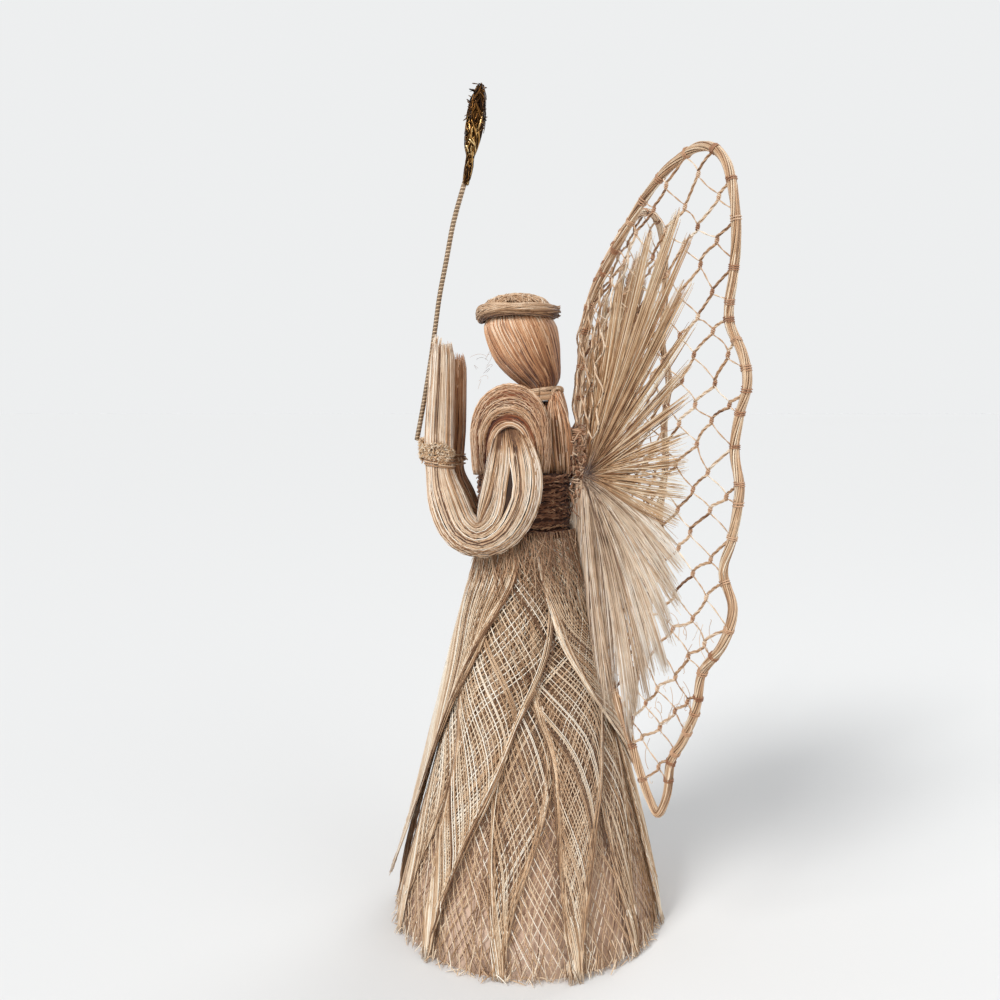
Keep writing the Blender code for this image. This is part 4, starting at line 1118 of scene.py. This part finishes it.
def net_knots(side, word, rod, knots, strands):
    """Knots of three strands, some with a loose end, and the turns that tie the net to its frame."""
    centre, length, facing, inward = rod
    ties = Strands()
    t = steps(9)
    s = steps(6)
    size = 0.3 + 0.28 * np.sin(np.pi * t)
    for place, (out, height) in knots.items():
        own = uniform(0.35, 0.85)
        for ply in range(3):
            roll = TURN * (1.3 * t + ply / 3) + place[0]
            across = size * np.cos(roll) + 0.5 * (t - 0.5)
            path = wing(side, out + across, height - 1 + 2 * t, size * np.sin(roll))
            ties.add(path, np.clip(own + uniform(-0.2, 0.2), 0, 1))
        if rng.random() < 0.4:
            go = uniform(-1, 1, 3)
            path = wing(side, out + go[0] * 1.8 * s, height + go[1] * 2.2 * s, 0.5 + go[2] * s)
            ties.add(path, 0.8, radius=0.13)
    marks = []
    for end in [end for start, end, full in strands if not full]:
        i = int(np.argmin(np.linalg.norm(OUTLINE - end, axis=1)))
        if all(abs(length[i] - length[j]) > 3.4 for j in marks):
            marks.append(i)
    for i in marks:
        turn = np.linspace(0, TURN * uniform(2.1, 3.3), 24)[:, None]
        at = length[i] + np.linspace(-0.9, 0.9, 24) * uniform(0.7, 1.2)
        middle = np.stack([np.interp(at, length, column) for column in centre.T], -1)
        path = middle + 1.52 * (facing * np.cos(turn) + inward[i] * np.sin(turn))
        ties.add(path, uniform(0.2, 0.75), radius=0.28)
    ties.make(f"{word}_wing_knots", 0.25, KNOT, "thread", taper=0.8)


# Fans: each ribbon's distance out and height, the spread of its end, and how many fibres it has
UPPER_FAN = [(16.5, 218, 1.5, 44), (22.0, 213, 1.4, 42), (27.5, 230, 1.2, 54), (35.0, 223, 1.4, 46),
             (43.0, 244, 1.3, 60), (49.0, 228, 1.3, 40), (56.3, 248.5, 1.3, 60), (59.5, 227, 1.0, 26),
             (62.7, 240, 0.8, 26), (63.1, 227, 0.8, 24), (63.5, 215, 0.8, 26), (63.0, 202.5, 0.8, 24),
             (63.9, 193, 0.8, 24), (62.0, 181.0, 1.3, 34)]
MIDDLE_FAN = [(62.1, 173.0, 1.9, 50), (62.8, 164.5, 1.8, 46), (59.3, 155.1, 1.8, 44)]
LOWER_FAN = [(58.0, 147.0, 1.5, 36), (61.2, 140.0, 1.3, 46), (58.6, 134.0, 1.4, 36), (60.3, 128.0, 1.3, 42),
             (56.0, 122.0, 1.3, 34), (58.0, 115.5, 1.3, 42), (54.0, 105.1, 1.3, 42), (48.0, 103.0, 1.3, 30),
             (46.0, 94.0, 1.2, 36), (40.0, 87.0, 1.3, 36), (36.5, 77.5, 1.1, 30), (28.5, 93.0, 1.3, 26),
             (21.5, 106.0, 1.3, 26)]
CURTAIN_ENDS = np.array([(0.5, 136), (4, 124), (8, 113), (13.5, 102), (20, 94), (28, 87)])
CURTAIN_FIBRES = 140


def fan(side, node, ribbons, material, slot, tone, gather, ragged, sag=0.0):
    """Fibres that fan out from the gathering point and part into ribbons near their cut ends."""
    gather = np.array(gather)
    straws = Strands()
    t = steps(6)
    for out, height, tuft, amount in ribbons:
        end = np.array([out, height])
        ribbon_tone = normal(tone, 0.08)
        level = uniform(0.7, 1.9)
        ahead = normalise(end - gather)
        across = np.array([-ahead[1], ahead[0]])
        for k in range(amount):
            off = np.clip(normal(0, tuft), -2.4 * tuft, 2.4 * tuft)
            short = min(rng.exponential(ragged), 30) + 0.3 * abs(off)
            tip = end + across * off + ahead * (1.2 - short)
            foot = gather + across * normal(0, 1.0) + ahead * uniform(-2.0, 1.0)
            bulge = (off * 0.55 + normal(sag, 0.35)) * np.sin(np.pi * t)
            flat = foot + (tip - foot) * t[:, None] + across * bulge[:, None]
            front = level + uniform(-0.4, 0.6) + 0.3 * np.sin(2 * t + k) + (1 - t) ** 3 * uniform(0, 1.6)
            # Darker near the gathering point, paler towards the cut ends: painted shade where the fibres
            # crowd, painted light at the ends.
            tone_here = tone_near(ribbon_tone, 0.24, 0.24 * t - 0.26 * (1 - t) ** 2)
            straws.add(wing(side, *flat.T, front), tone_here)
    straws.make(f"{node}_fibres", 0.135, material, slot, node, flat=1.5)


def curtain(side, word):
    """Fibres that fall from the gathering point along the body, over the frame's inner edge."""
    straws = Strands()
    t = steps(9)
    for k in range(CURTAIN_FIBRES):
        s = uniform(0, 1)
        end = np.array([np.interp(s, steps(6), column) for column in CURTAIN_ENDS.T])
        end = end + normal(0, 1.6, 2) + np.array([0, uniform(-10, 8)])
        foot = np.array([5.2 + 6.0 * s + normal(0, 0.5), 162.5 + uniform(-1, 1.5)])
        out, height = (foot + (end - foot) * t[:, None]).T
        out = out + normal(-0.6, 0.9) * np.sin(np.pi * t) + 0.6 * np.sin(9 * t + k)
        front = 1.9 + uniform(0, 0.9) + 0.5 * np.sin(np.pi * t) - 0.4 * t
        straws.add(wing(side, out, height, front), tone_near(0.46, 0.28, 0.1 * t))
    straws.make(f"{word}_curtain_fibres", 0.2, WHITE, "straw_pale", flat=1.4)


def wings():
    for side, word in BOTH_SIDES:
        rod = wing_rod(side, word)
        knots, strands = net_layout()
        net_threads(side, word, strands)
        net_knots(side, word, rod, knots, strands)
        fan(side, f"{word}_upper_fan", UPPER_FAN, FAN, "straw_tan", 0.4, (11.5, 166.0), 3.5)
        fan(side, f"{word}_middle_fan", MIDDLE_FAN, FAN, "straw_tan", 0.5, (12.5, 165.0), 2.0)
        fan(side, f"{word}_lower_fan", LOWER_FAN, WHITE, "straw_pale", 0.46, (12.2, 163.5), 4.5, 2.6)
        curtain(side, word)


# Lashing of both wings to the body

TANGLED_THREADS = 240


def lashing(node, z):
    twine = Strands()
    for k in range(6):
        path = ring((0, 18.1), 5.3 + 0.3 * (k % 2), 3.1, z - 1.5 + 0.6 * k, uniform(-0.8, 0.8))
        twine.add(path, uniform(0.1, 0.8))
    twine.make(f"{node}_twine", 0.34, KNOT, "thread", node, sides=5)


def root_turns(thread, side):
    """Turns round the rod's foot, two bands over the front and turns round the fans' gathering point."""
    t = np.linspace(0, TURN, 18)
    for k in range(26):
        z = 156 + 1.0 * k + uniform(-1, 1)
        out = 5.0 + uniform(-3.5, 4) + 2.6 * np.cos(t)
        height = z + uniform(-2.0, 2.0) * np.sin(t + k) + 0.6 * np.cos(t)
        thread.add(wing(side, out, height, 1.0 + 2.0 * np.sin(t)), uniform(0.1, 0.8))
    t = steps(12)
    for k in range(6):
        height = 178.4 + 0.55 * k + 0.4 * np.sin(4 * t + k) - t
        front = 4.4 - 1.6 * t + 0.3 * np.sin(5 * t + k)
        thread.add(wing(side, 11.5 * t - 3.5, height, front), uniform(0.3, 0.7))
    for k in range(5):
        height = 162.6 + 0.5 * k + 0.6 * np.sin(3 * t + k) - 1.6 * t
        front = 4.2 - 1.6 * t + 0.5 * np.sin(5 * t + k)
        thread.add(wing(side, 9.5 * t - 1.5, height, front), uniform(0.7, 1.0))
    t = np.linspace(0, TURN, 16)
    for k in range(6):
        out = 10.4 + 0.55 * (k - 2.5) + 1.6 * np.cos(t)
        height = 168.2 - 0.85 * (k - 2.5) + 0.95 * np.cos(t)
        thread.add(wing(side, out, height, 1.6 + 1.5 * np.sin(t)), uniform(0.1, 0.5))


def root_tangle(thread, side):
    t = steps(6)[:, None]
    for k in range(TANGLED_THREADS):
        start = uniform((-5.5, 153, 0.8), (8.5, 181, 5.0))
        go = uniform((-3.5, -3.5, -1), (3.5, 3.5, 1))
        bow = uniform((-2.2, -2.2, -0.8), (2.2, 2.2, 0.8))
        path = start + go * t + bow * np.sin(np.pi * t)
        thread.add(wing(side, *path.T), uniform(0.0, 0.9))


def root_lashing():
    thread = Strands()
    for side in (1, -1):
        root_turns(thread, side)
        root_tangle(thread, side)
    thread.make("root_lashing_thread", 0.25, KNOT, "thread", taper=0.8)


# Stage, light and camera

def floor():
    size = 9.0
    mesh = bpy.data.meshes.new("floor")
    corners = [(-size, -size, 0), (size, -size, 0), (size, size, 0), (-size, size, 0)]
    mesh.from_pydata(corners, [], [(0, 1, 2, 3)])
    material = bpy.data.materials.new("floor")
    material.use_nodes = True
    shader = material.node_tree.nodes["Principled BSDF"]
    set_inputs(shader, {"Base Color": (0.80, 0.80, 0.79, 1), "Roughness": 0.9, "Specular IOR Level": 0.0})
    mesh.materials.append(material)
    put("floor", mesh)


def backdrop():
    """A sky that lights the angel, seen by the camera and in mirrors as a plain pale wall."""
    world = bpy.data.worlds.new("studio")
    world.use_nodes = True
    nodes = world.node_tree.nodes
    links = world.node_tree.links
    sky = nodes["Background"]
    set_inputs(sky, {"Color": (0.80, 0.82, 0.85, 1), "Strength": 0.6})
    wall = nodes.new("ShaderNodeBackground")
    set_inputs(wall, {"Color": (0.85, 0.86, 0.865, 1)})
    rays = nodes.new("ShaderNodeLightPath")
    seen = nodes.new("ShaderNodeMath")
    seen.operation = "MAXIMUM"
    pick = nodes.new("ShaderNodeMixShader")
    links.new(rays.outputs["Is Camera Ray"], seen.inputs[0])
    links.new(rays.outputs["Is Glossy Ray"], seen.inputs[1])
    links.new(seen.outputs[0], pick.inputs["Fac"])
    links.new(sky.outputs[0], pick.inputs[1])
    links.new(wall.outputs[0], pick.inputs[2])
    links.new(pick.outputs[0], nodes["World Output"].inputs["Surface"])
    bpy.context.scene.world = world


def light(name, kind, energy, place, aim=(0, 0, 0)):
    data = bpy.data.lights.new(name, kind)
    data.energy = energy
    item = put(name, data)
    item.location = place
    item.rotation_euler = (Vector(aim) - Vector(place)).to_track_quat("-Z", "Y").to_euler()
    return data


def camera():
    """The camera fitted to the photograph: its place is measured in mm from the skirt's axis."""
    azimuth = math.radians(91.0)
    pitch = math.radians(6.13)
    right = Vector((math.cos(azimuth), math.sin(azimuth), 0))
    back = Vector((math.sin(azimuth), -math.cos(azimuth), 0))
    data = bpy.data.cameras.new("camera")
    data.lens = 36
    data.sensor_width = 36
    data.clip_start = 0.01
    data.clip_end = 20
    item = put("camera", data)
    item.location = (right * -10.2 + back * 359.4 + Vector((0, 0, 194.0)) + Vector(AXIS)) * MM
    item.rotation_mode = "QUATERNION"
    look = -back * math.cos(pitch) - Vector((0, 0, 1)) * math.sin(pitch)
    item.rotation_quaternion = look.to_track_quat("-Z", "Y")
    bpy.context.scene.camera = item


camera()
floor()
backdrop()
light("key", "SUN", 2.2, (0.95, -0.75, 0.98)).angle = math.radians(20)
light("back", "SUN", 0.8, (-0.9, 0.6, 0.7)).angle = math.radians(40)
light("fill", "AREA", 2.0, (0.6, 0.7, 0.5), (0, 0, 0.14)).size = 0.8
bpy.context.scene.view_settings.view_transform = "Standard"

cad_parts["card_cone"].material_slots[0].material = CARD
skirt_net()
petals()
torso()
waist()
waist_fringe()
for side, word in BOTH_SIDES:
    sleeve(side, word)
    sleeve_edges(side, word)
arms()
wrist_tie(1, "left", -31.4)
wrist_tie(-1, "right", -28.4)
head()
neck_tie()
neck_bundle()
hat_rim()
hat_crown()
stray_hairs()
wand()
tinsel_tuft()
glue()
wings()
lashing("upper_lashing", 179.5)
lashing("lower_lashing", 167.6)
root_lashing()
